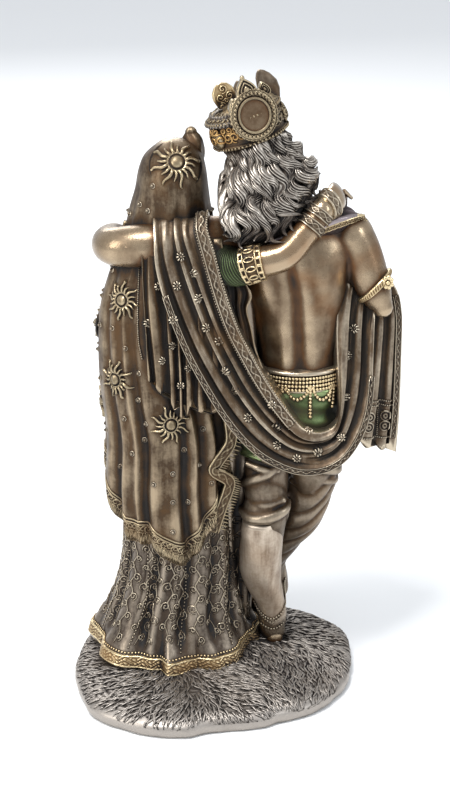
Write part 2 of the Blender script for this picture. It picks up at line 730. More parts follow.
radhaVeil = (
    (224.5, 18.9, -13.5, 1.2, 1.2), (223.6, 18.9, -13.6, 4.6, 4.8), (221.5, 18.9, -13.8, 7.8, 8.6),
    (217.5, 19.7, -14, 11.2, 12.4), (212, 20.1, -14, 13.0, 14.6), (205, 20.4, -14, 14.1, 15.4),
    (198, 21.0, -14, 15.6, 15.0), (190, 21.2, -14, 17.4, 15.5), (180, 22.2, -14, 20.0, 17.0),
    (161, 25.0, -14, 23.2, 20.6), (144, 25.4, -14, 24.2, 22.4), (127, 25.2, -14, 24.4, 23.4),
    (107, 22.4, -14, 25.4, 24.6), (87, 22.0, -14, 26.2, 25.8), (70, 21.0, -14, 26.0, 26.8),
    (50, 20.0, -14, 26.0, 27.4),
)
veilHem = (
    (-125, 122), (-105, 116), (-88, 105), (-70, 88), (-50, 77), (-33, 67), (-11, 57), (8, 61), (20, 65),
    (42, 66), (60, 73), (80, 82), (100, 92), (125, 104),
)
veilValleys = ((-104, 0.8), (-80, 1.0), (-54, 0.8), (-34, 0.9), (-15, 1.0), (21, 0.9), (34, 0.35), (52, 0.8),
               (84, 0.7), (106, 0.8))
skirtValleys = (
    (-128, 0.9), (-95, 1.0), (-52, 0.9), (-14, 1.0), (10, 0.3), (30, 0.5), (66, 1.0), (82, 0.3),
    (99, 0.95), (126, 0.45), (150, 0.55), (176, 1.0), (212, 0.9),
)


hemLobes = (-20, 18, 80, 107, 160, 205, 250, 295, 340)


def valleys(places, turn, width):
    depth = np.zeros_like(np.asarray(turn, float))
    for place, size in places:
        away = (turn - math.radians(place) + math.pi) % (2 * math.pi) - math.pi
        depth = np.maximum(depth, size * np.exp(-(away / math.radians(width)) ** 2))
    return depth


def skirtRipple(turn, z):
    opening = np.clip((118 - z) / 105, 0, 1) ** 1.1
    wander = turn + 0.05 * np.sin(0.06 * z)
    finer = 1.7 * np.abs(np.sin(6.0 * wander + 0.5 * np.sin(2 * wander))) ** 0.6 - 1.3
    upper = ramp(z, 18, 45)
    hung = opening * (0.060 - 0.200 * valleys(skirtValleys, wander, 6.5) + 0.045 * upper * finer)
    lobes = 0.130 * lapped((np.degrees(turn) + 20) % 360 - 20, hemLobes) - 0.072
    low = 1 - ramp(z, 13, 30)
    return (1 - 0.8 * low) * hung + low * lobes


def veil():
    half = math.radians(118)
    turn = np.linspace(-half, half, 300)
    hem = np.interp(np.degrees(turn), *np.array(veilHem).T)
    rings = []
    for t in np.linspace(0, 1, 300):
        z = 224.5 + (hem - 224.5) * t ** 1.15
        cx, cy, a, b = between(radhaVeil, z)
        hang = np.clip((208 - z) / 110, 0, 1) ** 0.8
        wander = turn - 0.14 * ramp(z, 90, 170) * ramp(turn, 0, 0.3) + 0.03 * np.sin(0.06 * z)
        nape = bump(z, 196, 9) * np.cos(turn)
        folds = 0.035 - 0.135 * valleys(veilValleys, wander, 6.0) + 0.012 * np.sin(14 * turn + 0.05 * z)
        out = 1 + 0.035 * nape * np.cos(13 * turn) + hang * folds
        cloth = np.stack([cx + a * out * np.sin(turn), cy + b * out * np.cos(turn), z], 1)
        inside = np.stack([cx + 0.5 * a * np.sin(turn), cy + 0.42 * b * np.cos(turn), z], 1)
        rings.append(np.vstack([cloth, inside[::-8]]))
    return lofted(rings)


def pleats():
    return sheet(
        left=((31.5, 5, 190), (31, 8, 172), (30, 10, 152), (29.5, 10.5, 137.5)),
        right=((1, 3, 190), (0, 6, 172), (1, 8.5, 152), (3, 9, 138)),
        outward=((0, 1, 0), (0, 1, 0)),
        fold=lambda s, t: 0.4 + 2.0 * lapped(s + 0.03 * math.sin(4 * t),
            (-0.04, 0.05, 0.28, 0.42, 0.50, 0.66, 0.84, 1.06)) * (0.5 + 0.5 * min(1, 3 * t)),
        thick=5, across=150, along=120,
        drop=lambda s: np.interp(s, (0, 0.24, 0.28, 0.42, 0.55, 0.6, 0.85, 1),
            (1, 8.5, 7.5, 17, 17.5, 12.5, 16.5, 15)),
    )


headLevels = (
    (-0.52, 0.07, 0.30, 0.10), (-0.49, 0.13, 0.355, 0.20), (-0.43, 0.185, 0.375, 0.26),
    (-0.34, 0.235, 0.375, 0.30), (-0.22, 0.285, 0.375, 0.36), (-0.08, 0.325, 0.370, 0.42),
    (0.05, 0.345, 0.378, 0.46), (0.18, 0.350, 0.380, 0.47), (0.30, 0.325, 0.350, 0.44),
    (0.40, 0.260, 0.280, 0.36), (0.47, 0.150, 0.160, 0.22), (0.50, 0.030, 0.030, 0.04),
)


def faceCarving(x, z):
    wide = np.abs(x)
    nose = (0.020 + 0.085 * ramp(-z, -0.08, 0.17)) * bump(x, 0, 0.030 + 0.028 * ramp(-z, 0.0, 0.18))
    nose *= ramp(-z, -0.10, -0.02) * (1 - ramp(-z, 0.175, 0.215))
    wings = 0.030 * bump(wide, 0.052, 0.022) * bump(z, -0.172, 0.024)
    socket = -0.036 * bump(wide, 0.135, 0.075) * bump(z, 0.005, 0.055)
    ball1 = 0.034 * np.sqrt(np.maximum(1 - ((wide - 0.135) / 0.062) ** 2 - ((z - 0.0) / 0.036) ** 2, 0))
    lidPlace = 0.004 + 0.030 * np.maximum(1 - ((wide - 0.135) / 0.078) ** 2, 0)
    lids = 0.013 * bump(z, lidPlace, 0.008) * (np.abs(wide - 0.135) < 0.08)
    underLid = -0.026 * np.maximum(1 - ((wide - 0.135) / 0.078) ** 2, 0)
    lowLids = 0.007 * bump(z, underLid, 0.007) * (np.abs(wide - 0.135) < 0.075)
    arch = 0.085 + 0.020 * np.maximum(1 - ((wide - 0.14) / 0.11) ** 2, 0)
    brow = 0.016 * bump(z, arch, 0.016) * (wide > 0.03) * (wide < 0.25)
    mouthWide = np.maximum(1 - (wide / 0.095) ** 2, 0)
    upper = 0.026 * mouthWide ** 0.6 * bump(z, -0.268 - 0.006 * bump(x, 0, 0.02), 0.016)
    lower = 0.030 * mouthWide ** 0.5 * bump(z, -0.305, 0.018)
    parting = -0.016 * mouthWide ** 0.3 * bump(z, -0.286 + 0.10 * wide ** 2, 0.006)
    chin = 0.028 * bump(x, 0, 0.085) * bump(z, -0.43, 0.055)
    cheeks = 0.014 * bump(wide, 0.19, 0.07) * bump(z, -0.12, 0.08)
    philtrum = -0.006 * bump(x, 0, 0.012) * bump(z, -0.235, 0.025)
    eyes = socket + ball1 + lids + lowLids + brow
    return nose + wings + eyes + upper + lower + parting + chin + cheeks + philtrum


herHead = {"centre": (19.0, -17.5, 210.5), "size": 24.0, "lean": 4, "turnTo": -24}
hisHead = {"centre": (-13.0, -13.5, 215.5), "size": 27.0, "lean": 17, "turnTo": 22}


def posed(x, y, z, centre, lean, turnTo):
    c, s = math.cos(math.radians(turnTo)), math.sin(math.radians(turnTo))
    tilt = math.radians(lean)
    rx, rz = x + z * math.sin(tilt), z * math.cos(tilt) - x * math.sin(tilt)
    return np.stack([centre[0] + rx * c - y * s, centre[1] + rx * s + y * c, centre[2] + rz], 1)


def head(centre, size, lean, turnTo):
    finer, coarser = np.linspace(180, 360, 130, endpoint=False), np.linspace(0, 180, 36, endpoint=False)
    turn = np.radians(np.concatenate([finer, coarser]))
    rings = []
    for z in np.concatenate([np.linspace(-0.52, 0.20, 118), np.linspace(0.21, 0.50, 18)]):
        wide, front, back = between(headLevels, np.array([z]))
        x = wide[0] * np.cos(turn)
        y = np.where(np.sin(turn) < 0, front[0], back[0]) * np.sin(turn)
        y = y - faceCarving(x, np.full(len(x), z)) * ramp(-np.sin(turn), 0.15, 0.55)
        rings.append(posed(x * size, y * size, z * size, centre, lean, turnTo))
    return [lofted(rings)]


def hairCap(centre, size, lean, turnTo):
    turn = circle(220)
    rings = []
    for z in np.linspace(-0.50, 0.50, 90):
        wide, front, back = between(headLevels, np.array([z]))
        hairline = -0.45 + 0.74 * ramp(-np.sin(turn), -0.05, 0.80) - 0.05 * bump(np.cos(turn), 0, 0.10)
        thick = 0.185 - 0.10 * ramp(np.sin(turn), -0.3, 0.6) + 0.013 * np.cos(38 * turn + 16 * z)
        grown = 0.90 + ramp(z - hairline, 0, 0.05) * thick
        x = wide[0] * np.cos(turn) * grown * size
        y = np.where(np.sin(turn) < 0, front[0], back[0]) * np.sin(turn) * grown * size
        rings.append(posed(x, y, (z * 1.03 + 0.01) * size, centre, lean, turnTo))
    return lofted(rings)


def fingers(knuckles, reach, curl, across, size):
    knuckles, reach, curl, across = (np.array(v, float) for v in (knuckles, reach, curl, across))
    shapes = []
    for offset, long in ((-1.5, 0.82), (-0.5, 1.0), (0.5, 0.95), (1.5, 0.74)):
        base = knuckles + across * offset * size * 0.46
        rows = [
            (*(base + reach * long * size * 1.7 * t + curl * long * size * t * t), size * (0.27 - 0.08 * t))
            for t in (-0.5, 0, 0.4, 0.75, 1.0)
        ]
        shapes.append(limb(rows, steps=22, sides=16))
    base = knuckles - reach * size * 1.3 - across * size * 0.8
    rows = [
        (*(base + (reach * 0.9 - across * 0.5) * size * 1.3 * t + curl * size * 0.3 * t),
         size * (0.30 - 0.08 * t))
        for t in (-0.3, 0.3, 0.7, 1.0)
    ]
    shapes.append(limb(rows, steps=18, sides=16))
    return shapes


sleeveAndArm = (
    (9, -9, 183, 7.0), (2, 0, 180, 7.2), (-4, 6, 179.5, 6.6), (-12, 8.6, 182, 6.2), (-22, 9.0, 185, 5.6),
    (-29.5, 6.5, 192.5, 5.0), (-36.5, 3.0, 201, 4.4),
)
handOnShoulder = (
    (-36.5, 3.0, 201, 4.4, 4.2), (-41.5, -3.0, 203.4, 5.2, 3.4), (-43, -12, 202.5, 5.2, 2.6),
    (-44, -19, 198, 4.4, 2.2),
)
armInFront = (
    (33, -17, 182, 6.6), (38, -26, 168, 6.4), (36, -33, 157, 5.6), (22, -36, 160, 5.0), (8, -34, 166, 4.0),
    (0, -32, 169, 3.4),
)
handOnHisChest = ((1, -32, 169, 3.6, 3.4), (-6, -31, 172, 4.6, 2.4), (-13, -29, 175, 3.8, 1.8))


def makeRadha():
    skirt = column(radhaSkirt, steps=170, sides=380, ripple=skirtRipple)
    makePiece("radhaSkirt", [skirt], "skirt")
    makePiece("radhaNeck", [column(radhaTorso, steps=80, sides=80)], "skin")
    makePiece("radhaBlouse", [
        column([(z, x, y, a + 0.5, b + 0.5) for z, x, y, a, b in radhaTorso[1:6]], steps=60, sides=120,
               ripple=lambda turn, z: 0.004 * np.cos(30 * turn) * np.cos(0.9 * z)),
        ball((14.4, -24.2, 166), (6.6, 5.4, 6.2), sides=40),
        ball((25.6, -24.2, 166), (6.6, 5.4, 6.2), sides=40),
    ], "skirt", rounds=10)
    makePiece("herGirdle", [column(
        ((121.5, 20, -17.4, 15.2, 12.6), (126.5, 20, -17.7, 13.9, 11.2), (131.0, 20, -18, 12.7, 10.0)),
        steps=40, sides=200,
        ripple=lambda turn, z: 0.022 * np.cos(36 * turn) * np.cos(1.6 * z) ** 2,
    )], "gold", rounds=8)
    makePiece("radhaHair", [hairCap(**herHead)], "hair", rounds=8)
    makePiece("radhaArms", [
        limb(sleeveAndArm, steps=90, sides=40), limb(handOnShoulder, steps=30, sides=24),
        limb(armInFront, steps=90, sides=40), limb(handOnHisChest, steps=30, sides=24),
        *fingers((-9.5, -31.0, 173.2), (-0.93, 0.12, 0.34), (0, 0.5, 0), (0.3, 0.0, 0.95), 3.0),
        *fingers((-44.2, -15.5, 201.0), (-0.1, -0.75, -0.55), (0, 0.1, -0.6), (0.95, 0.0, 0.0), 3.2),
    ], "skin")
    makePiece("radhaHead", head(**herHead), "skin")
    makePiece("radhaVeil", [veil()], "cloth")
    makePiece("veilPleats", [pleats()], "cloth")
    makePiece("radhaCrest", [
        limb(((14.5, -18.5, 211, 5.6), (13.4, -17.5, 217.5, 5.6), (12.6, -16.6, 222.4, 4.6),
              (12.9, -16.4, 226.0, 2.2)), steps=60, sides=60,
             swell=lambda turn, t: 1 + 0.09 * np.cos(3 * turn + 5 * t) + 0.04 * np.cos(7 * turn - 9 * t)),
    ], "cloth", rounds=8)
    between2 = column((
        (20, -5, -17, 5.6, 6), (40, -4.2, -15.4, 6.6, 7), (70, -3, -14, 5.8, 8), (110, -4, -11, 8, 10),
        (135, -5, -11, 9, 9),
        (160, -4, -11, 8.5, 9), (178, -3, -11, 6, 6),
    ), steps=80, sides=60, ripple=lambda turn, z: 0.10 * np.sin(6 * turn))
    makePiece("clothBetween", [between2], "skirt")


makeRadha()


# his figure

krishnaTorso = (
    (100, -25.4, -10, 19.4, 14.5), (110, -26, -9.5, 19.0, 14.5), (120, -27.4, -9, 17.2, 12.6),
    (130, -28.8, -9, 15.6, 11.0), (140, -28.6, -9.5, 15.4, 10.4), (152, -28.2, -10, 17.6, 11.4),
    (165, -27.4, -10.5, 20.0, 12.4), (176, -27.0, -10.5, 22.0, 12.6), (184, -26.8, -10.5, 22.6, 11.6),
    (190, -25.5, -11, 20.0, 10.0), (195, -22.5, -12, 12.5, 8.4), (200, -18.5, -13, 7.6, 7.4),
    (208, -15, -14, 6.8, 7.0),
)
standingLeg = (
    (-17.5, -9.5, 110, 12.5), (-17, -8.5, 100, 11.0), (-16.4, -6.8, 90, 8.8), (-16.4, -5.8, 81, 8.6),
    (-16.6, -5.4, 74, 9.2), (-16.0, -6.5, 66, 8.4), (-15.4, -9, 54, 7.6), (-16.4, -10.5, 40, 6.6),
    (-18.4, -11.5, 29, 5.8), (-20.0, -12.0, 16.0, 5.2),
)
shinCloth = (
    (-14.6, -5.0, 70.8, 7.2, 8.8), (-14.8, -5.3, 66.2, 8.4, 9.2), (-15.0, -5.6, 61.5, 8.5, 9.2),
    (-14.5, -6.4, 54, 8.4, 9.2), (-14.6, -7.4, 47, 8.3, 8.8), (-16.0, -8.8, 40, 7.3, 8.0),
    (-18.0, -10.2, 33, 6.2, 7.0), (-19.4, -11.2, 27, 5.8, 6.4), (-20.0, -11.6, 23.5, 5.6, 6.0),
)
crossedLeg = (
    (-33.0, -10, 108, 13.0), (-35.4, -12, 97, 11.2), (-35.4, -15, 86, 10.0), (-33.4, -18.5, 76, 9.8),
    (-31.2, -21.5, 67, 9.8), (-26.4, -26, 57, 8.9), (-20.6, -29.5, 46, 7.8), (-18.6, -31.5, 38, 7.0),
    (-20.0, -32.5, 31, 6.5), (-21.0, -33, 25, 6.2),
)
foldRolls = (
    ((-6.5, -7, 85, 1.6), (-11, -1.5, 89, 2.4), (-17, 0.5, 93, 2.6), (-22, -1, 98, 2.0)),
    ((-6.8, -6, 74, 1.8), (-10, -0.5, 73, 2.6), (-16.5, 2.6, 74, 2.8), (-23.5, 0.2, 76.5, 2.4),
     (-25.6, -5, 78, 1.4)),
    ((-10, -2.5, 79, 1.3), (-16, 1.0, 79, 2.0), (-23, -1.0, 80.5, 1.8)),
    ((-12, 0.0, 101, 1.6), (-19, 2.6, 99, 2.4), (-26, 1.6, 99.5, 2.4), (-33, -0.5, 101, 2.0)),
    ((-9, -2, 96, 1.6), (-15, 1.2, 95, 2.0), (-21, 0, 94, 1.4)),
    ((-29, -5, 97, 1.8), (-37, -3.0, 94, 2.6), (-44.5, -8, 90.5, 2.2), (-46.5, -14, 89.5, 1.4)),
    ((-28, -8, 91, 1.4), (-36, -6.2, 88, 2.4), (-43.5, -10.5, 85, 2.0), (-45.2, -16, 84, 1.4)),
    ((-27, -10.5, 85, 1.4), (-34.5, -9.2, 81.5, 2.3), (-41.5, -13.5, 78.5, 2.0), (-42.8, -19, 78, 1.3)),
    ((-25.5, -12, 78.5, 1.4), (-32, -12.2, 74.5, 2.2), (-38, -17, 71.5, 1.9), (-39, -22, 71.5, 1.2)),
    ((-24, -15, 71.5, 1.3), (-28.5, -16.0, 67.5, 2.0), (-34, -20.5, 64, 1.7)),
    ((-22.5, -18.5, 64, 1.2), (-26, -19.4, 60.5, 1.8), (-30.5, -23.5, 57, 1.5)),
)
hairMass = (
    (188, -8, 1, 5, 5), (191, -11, 0, 12, 8), (196, -14, -2.5, 15.5, 11.6), (202, -15.6, -5.5, 17, 13.5),
    (208, -16.6, -7.5, 16.8, 14), (214, -15.8, -8.5, 15.8, 13.8), (221, -13.5, -10, 14.2, 13),
    (228, -11.5, -11, 13.2, 12.2),
)


def backAndChest(ring):
    z = ring[0, 2]
    spine = np.interp(z, (110, 134, 165, 195), (-28.5, -29.2, -27.6, -22.5))
    x = ring[:, 0] - spine
    wide = np.abs(x)
    behind = ramp(ring[:, 1], -9, -4)
    back = -1.9 * bump(x, 0, 2.6) * ramp(z, 122, 146) * (1 - ramp(z, 168, 190))
    back += 0.8 * bump(wide, 5.6, 3.0) * (1 - ramp(z, 150, 172))
    back += 1.5 * bump(wide, 12.5, 5.5) * bump(z, 171, 10.0) - 0.6 * bump(wide, 7.0, 2.6) * bump(z, 168, 9.0)
    back -= 0.8 * bump(wide, 15.0, 4.5) * bump(z, 157, 6.0)
    front = -0.9 * bump(x, 1.5, 1.6) * bump(z, 172, 14)
    out = ring.copy()
    out[:, 1] += behind * back - (1 - behind) * front
    return out


def bagginess(turn, z):
    return 0.05 * np.sin(3 * turn + 0.28 * z) + 0.04 * np.sin(0.55 * z + turn)


def legFolds(count, depth, slant, strength):
    def swell(turn, t):
        along = math.pi * (count * t + slant * np.sin(turn + 0.6) + 0.25 * np.sin(2 * turn + 7 * t))
        return 1 + depth * np.interp(t, *np.array(strength).T) * (np.abs(np.sin(along)) ** 0.6 - 0.55)
    return swell


rightUpperArm = (
    (-48.5, -12, 187, 8.8), (-52.0, -12, 180, 8.5), (-55.6, -11, 171, 7.8), (-58.9, -9.8, 163.5, 6.2),
    (-61.4, -9.2, 158.6, 4.2),
)
armletAxis = ((-54.6, -10.9, 170.6, 8.9, 8.4), (-57.8, -10.3, 167.4, 8.4, 7.9),
              (-59.0, -10.2, 166.2, 8.2, 7.7))
rightForearm = (
    (-60.6, -10.5, 160, 4.8), (-58.5, -18, 160, 6.0), (-48, -29, 164, 5.2), (-40, -36, 168, 4.0),
    (-34, -38, 171, 3.4),
)
rightHand = ((-34, -38, 171, 3.6, 3.4), (-27, -38, 174, 4.6, 2.4), (-19, -35, 176.5, 4.0, 1.9))
leftArm = (
    (-6, -9, 186, 9.0), (8, -4, 187.5, 8.8), (20, -1, 186.8, 8.5), (32, -1, 185.8, 8.2),
    (41.4, -4, 184.6, 7.5), (44.6, -13, 183.2, 7.0), (43.0, -24, 181.5, 6.4), (37.5, -31.5, 178, 4.8),
    (33, -34, 175.5, 4.0),
)
leftHand = ((33, -34, 175.5, 4.2, 3.4), (29, -34.5, 170, 4.8, 2.4), (27, -33, 162, 4.2, 1.9))
standingFoot = ((-20.6, -10, 13.5, 3.6, 4.8), (-20.5, -18, 13.5, 4.6, 4.0), (-21, -28, 12.2, 5.4, 2.8),
                (-21, -33, 11.8, 4.6, 2.0))
crossedFoot = ((-19.5, -33, 22, 4.2), (-16, -38, 17, 4.4), (-12, -43, 13, 4.4), (-10.5, -45.5, 12.0, 3.0))


def makeKrishna():
    bodyShapes = [
        column(krishnaTorso, steps=170, sides=150, carve=backAndChest),
        ball((-48.2, -12.4, 186.6), (9.0, 8.6, 8.6), sides=40),
        ball((-40, -11, 189), (9.0, 6.6, 6.0), sides=40),
        ball((-33, -17.6, 177.5), (11.5, 5.0, 9.5), sides=40),
        ball((-18.5, -17.6, 177.5), (11.5, 5.0, 9.5), sides=40),
        limb(rightUpperArm, steps=70, sides=48), limb(rightForearm, steps=60, sides=40),
        limb(rightHand, steps=30, sides=24), limb(leftArm, steps=120, sides=56),
        limb(leftHand, steps=30, sides=24),
        limb(standingFoot, steps=40, sides=24), limb(crossedFoot, steps=40, sides=24),
        *fingers((-23.5, -37.4, 175.4), (0.90, 0.30, 0.22), (0.1, 0.5, 0.0), (-0.2, 0.0, 0.95), 3.1),
        *fingers((27.8, -34.2, 166.5), (-0.15, 0.1, -0.98), (-0.2, 0.4, 0.0), (0.95, 0.2, 0.0), 3.1),
        *fingers((-21.0, -31.5, 11.9), (0.0, -1.0, -0.12), (0, 0, -0.1), (0.9, 0.0, 0.0), 2.4)[:4],
    ]
    makePiece("krishnaBody", [fused(bodyShapes, 0.00065, soften=5)], "skin", metres=True, rounds=30)
    makePiece("krishnaHead", head(**hisHead), "skin")
    legs = fused([
        limb(standingLeg, steps=130, sides=90, swell=legFolds(6.5, 0.11, 0.9,
            ((0, 0.6), (0.2, 1), (0.45, 1), (0.6, 0.3), (1, 0.2)))),
        limb(crossedLeg, steps=150, sides=90, swell=legFolds(8.5, 0.16, -1.1,
            ((0, 0.6), (0.15, 1), (0.6, 1), (0.8, 0.5), (1, 0.2)))),
        *[limb([(x, y + 1.0, z, 0.9 * r) for x, y, z, r in roll], steps=24, sides=16) for roll in foldRolls],
        column((
            (98, -26, -9.5, 19.5, 13.5), (108, -26.8, -9.0, 19.6, 14.0), (118, -27.8, -8.8, 17.6, 12.4),
            (127, -28.8, -8.8, 15.6, 11.0),
        ), steps=30, sides=80, ripple=bagginess),
    ], 0.0005, soften=2)
    makePiece("trousers", [legs], "trousers", metres=True, rounds=20)

    def flapSwell(turn, t):
        wavy = 1 + 0.025 * np.sin(2 * turn + 3 * t) + 0.022 * np.sin(4 * turn - 11 * t)
        return wavy + 0.05 * (1 - ramp(t, 0.0, 0.05))

    flap = limb(shinCloth, steps=110, sides=110, roundEnds=(False, True), swell=flapSwell)
    makePiece("trouserFlap", [flap], "flap")
    cuffBeads = []
    tree = surfaceOf("trousers", "trouserFlap")
    for rows in (((-9.6, 36), (-12.4, 30), (-15.6, 25.8), (-19.4, 24.2), (-23.4, 26.6), (-25.8, 31.5)),
                 ((-10.4, 34), (-13.2, 28), (-16.0, 24.2), (-19.4, 22.4), (-23.2, 24.8)),
                 ((-15.0, 20.6), (-19.6, 18.8), (-24.4, 20.4))):
        cuffBeads += beadsAlong(*traced(tree, rows, steps=14), 0.00052, gap=0.00115)
    makeOrnament("cuffBeads", cuffBeads, "relief")


# his hair: broad wavy locks in four layers, each with its own strand grooves

hairEnds = (
    (-0.5, -8, 206), (0.0, -2, 199), (1.4, 3, 193.5), (0.5, 7, 189.0), (-3.5, 9.5, 187), (-8, 10.8, 189),
    (-13, 11.2, 190.5), (-18, 10.6, 189), (-23, 9.0, 192), (-27.5, 6.6, 194.5), (-32.5, 2.0, 199.5),
    (-35.6, -3, 204), (-34.0, -9, 211),
)
hairLook = {
    "layers": ((0.44, 1.0, 17, -1.0), (0.20, 0.86, 16, 0.1), (-0.02, 0.64, 13, 0.7), (-0.12, 0.36, 10, 0.8)),
    "width": 1.95, "depth": 2.5, "wave": 0.040, "waves": 1.8, "crest": 2.8, "strands": 4,
}


def hairPlace(share, down):
    end = np.array([np.interp(share * 12, range(13), [row[k] for row in hairEnds]) for k in range(3)])
    top = np.array((-4.5 - 17.0 * share, -1.5 - 11 * abs(share - 0.5) ** 1.3 * 2, 225 + 2.2 * share))
    point = top + (end - top) * down
    away = unitVector(np.array((point[0] + 14.5, point[1] + 9.0, 0.0)) + np.array((0, 0.001, 0)))
    bulge = hairLook["crest"] * math.sin(math.pi * min(max(0.12 + 0.80 * down, 0), 1))
    bulge -= 4.0 * float(1 - ramp(share, 0.10, 0.40)) * float(bump(down, 0.42, 0.26))
    bulge -= 3.2 * float(ramp(share, 0.62, 0.92)) * float(bump(down, 0.18, 0.24))
    return point + away * bulge, away


def lock(share, low, high, rise, phase, hand):
    count = 56
    path, normals, sizes = [], [], []
    swing, pace, stout = random.uniform(0.6, 1.35), random.uniform(0.85, 1.2), random.uniform(0.85, 1.2)
    for t in np.linspace(0, 1, count):
        turns = 2 * math.pi * hairLook["waves"] * pace * (high - low) / 0.66 * t + phase
        wave = swing * hairLook["wave"] * math.sin(turns) * (0.45 + 0.8 * t)
        curl = 0.055 * hand * ramp(t, 0.72, 1.0)
        down = low + (high - low) * t
        point, away = hairPlace(min(max(share + wave + curl, 0.0), 1.0), down)
        lifted = rise + 1.3 * math.sin(turns + 1.2) + 1.2 * float(ramp(t, 0.8, 1.0))
        path.append(point + away * lifted)
        aside = 0.75 * math.cos(turns + 0.6) * np.array((away[1], -away[0], 0))
        normals.append(away + np.array((0, 0, 0.35)) + aside)
        sizes.append(0.66 + 0.34 * math.sin(math.pi * min(1.0, 0.25 + 0.85 * t)) - 0.66 * t ** 6)
    normals = unitVector(np.array(normals))
    u = np.linspace(-1, 1, 31)
    v = np.linspace(0.8, -0.8, 5)

    def outline(t):
        size = np.interp(t, np.linspace(0, 1, count), sizes)
        strands = 1 + 0.105 * np.cos(hairLook["strands"] * math.pi * (u + 0.16 * math.sin(5 * t + phase)))
        top = np.sqrt(np.maximum(1 - u ** 2, 0)) * strands * hairLook["depth"]
        upper = np.stack([u * hairLook["width"], top], 1)
        lower = np.stack([v * hairLook["width"], np.full(5, -0.5 * hairLook["depth"])], 1)
        return np.vstack([upper, lower]) * max(size, 0.14) * stout

    return swept(np.array(path), normals, outline)


def makeHair():
    locks = [
        column(hairMass, steps=110, sides=300,
               ripple=lambda turn, z: 0.05 * np.sin(7 * turn + 0.5 * z) - 0.13
               + 0.018 * np.cos(46 * turn + 5 * np.sin(0.22 * z))),
        hairCap(**hisHead),
    ]
    for layer, (low, high, count, rise) in enumerate(hairLook["layers"]):
        for k in range(count):
            share = (k + 0.5) / count + random.uniform(-0.015, 0.015)
            ends = high + random.uniform(-0.12, 0.06) * (1 if high < 1 else 0.4)
            hand = 1 if share < 0.5 else -1
            phase = 1.9 * layer + 4.0 * share + random.uniform(-0.8, 0.8)
            locks.append(lock(share, low, ends, rise, phase, -hand * (1 if k % 3 else -1)))
    makePiece("krishnaHair", locks, "hair", rounds=18)


makeKrishna()
makeHair()


# crown

crownCentre = np.array((-8.8, -11.5, 231.5))
crownLean = 19.0
crownTurn = 18.0


def onCrown(x, y, z):
    c, s = math.cos(math.radians(crownTurn)), math.sin(math.radians(crownTurn))
    x, y = x * c - y * s, x * s + y * c
    c, s = math.cos(math.radians(crownLean)), math.sin(math.radians(crownLean))
    return crownCentre + (x * c + z * s, y, -x * s + z * c)


def tilted(shape):
    points, faces = shape
    return np.array([onCrown(*p) for p in points]), faces


crownLook = {"discSize": 9.3, "ringSize": 6.35, "ringThick": 0.62, "beads": 32, "beadSize": 0.66,
             "beadPlace": 8.0,
             "scallops": 32, "discRise": 4.4, "discOut": 15.2, "discSide": 1.2, "scrolls": 30,
             "scrollStroke": 0.00048, "plumeStroke": 0.00032, "rimBeads": 64}
roundLeaf = ((0, 0.42), (0.3, 0.80), (0.55, 0.98), (0.75, 0.92), (0.92, 0.58), (1, 0.12))
pointedLeaf = ((0, 0.55), (0.25, 0.90), (0.5, 1.0), (0.72, 0.74), (0.9, 0.34), (1, 0.05))


def leaf(x, y, z, width, height, thick, outline=pointedLeaf, bend=0.0, veins=5):
    rings = []
    turn = circle(72)
    for t in np.linspace(0, 1, 40):
        wide = np.interp(t, *np.array(outline).T) * width / 2
        flat = np.sign(np.sin(turn)) * np.abs(np.sin(turn)) ** 0.7 * thick * (0.75 - 0.35 * t)
        u = np.cos(turn)
        carved = 1 + 0.22 * np.cos(veins * math.pi * np.abs(u) + 9 * t) * (np.abs(u) < 0.92)
        carved = carved + 0.25 * bump(np.abs(u), 0.9, 0.08)
        rings.append(np.stack([x + wide * u + bend * t * t, y + flat * carved, np.full(72, z + height * t)],
            1))
    return tilted(lofted(rings))


def onDisc(reach, angle, out=0.0):
    side, rise = 0.95 * reach * math.sin(angle), reach * math.cos(angle)
    return onCrown(crownLook["discSide"] + side, crownLook["discOut"] + out, crownLook["discRise"] + rise)


def discRing(reach, thick, out):
    rings = []
    sides = 120
    for around in circle(12):
        r = reach + thick * math.cos(around)
        rings.append([onDisc(r, a, out + thick * math.sin(around)) for a in circle(sides)])
    points = np.array(rings).reshape(-1, 3)
    i, j = np.meshgrid(np.arange(12), np.arange(sides), indexing="ij")
    nextI, nextJ = (i + 1) % 12, (j + 1) % sides
    quads = np.stack([i * sides + j, i * sides + nextJ, nextI * sides + nextJ, nextI * sides + j],
                     -1).reshape(-1, 4)
    return points, [tuple(q) for q in quads.tolist()]


def discPlate(profile, scallop=0.0):
    rings = []
    angles = circle(208)
    for reach, out in profile:
        waves = [1 + scallop * (reach > 8) * abs(math.cos(crownLook["scallops"] / 2 * a)) for a in angles]
        rings.append([onDisc(reach * wave, a, out) for wave, a in zip(waves, angles)])
    return lofted(rings)


def laidOnCrown(tree, degrees, z):
    c, s = math.cos(math.radians(degrees)), math.sin(math.radians(degrees))
    return towards(tree, onCrown(30 * c, 30 * s, z), onCrown(0, 0, z))


def teardrop(x, z, width, height, out):
    rings = []
    angles = circle(72)
    steps = ((1.0, -2.4), (1.04, -0.2), (0.98, 0.5), (0.86, 0.55), (0.78, 0.0), (0.70, 0.0), (0.62, 0.65),
             (0.52, 0.65), (0.45, 0.15),
             (0.36, 0.15), (0.28, 0.9), (0.12, 1.25))
    for share, rise in steps:
        across = [share * width * math.sin(a) * abs(math.sin(a / 2)) * 1.15 for a in angles]
        rings.append([onCrown(x + u, out + rise, z + share * height * math.cos(a)) for u,
                      a in zip(across, angles)])
    return lofted(rings)


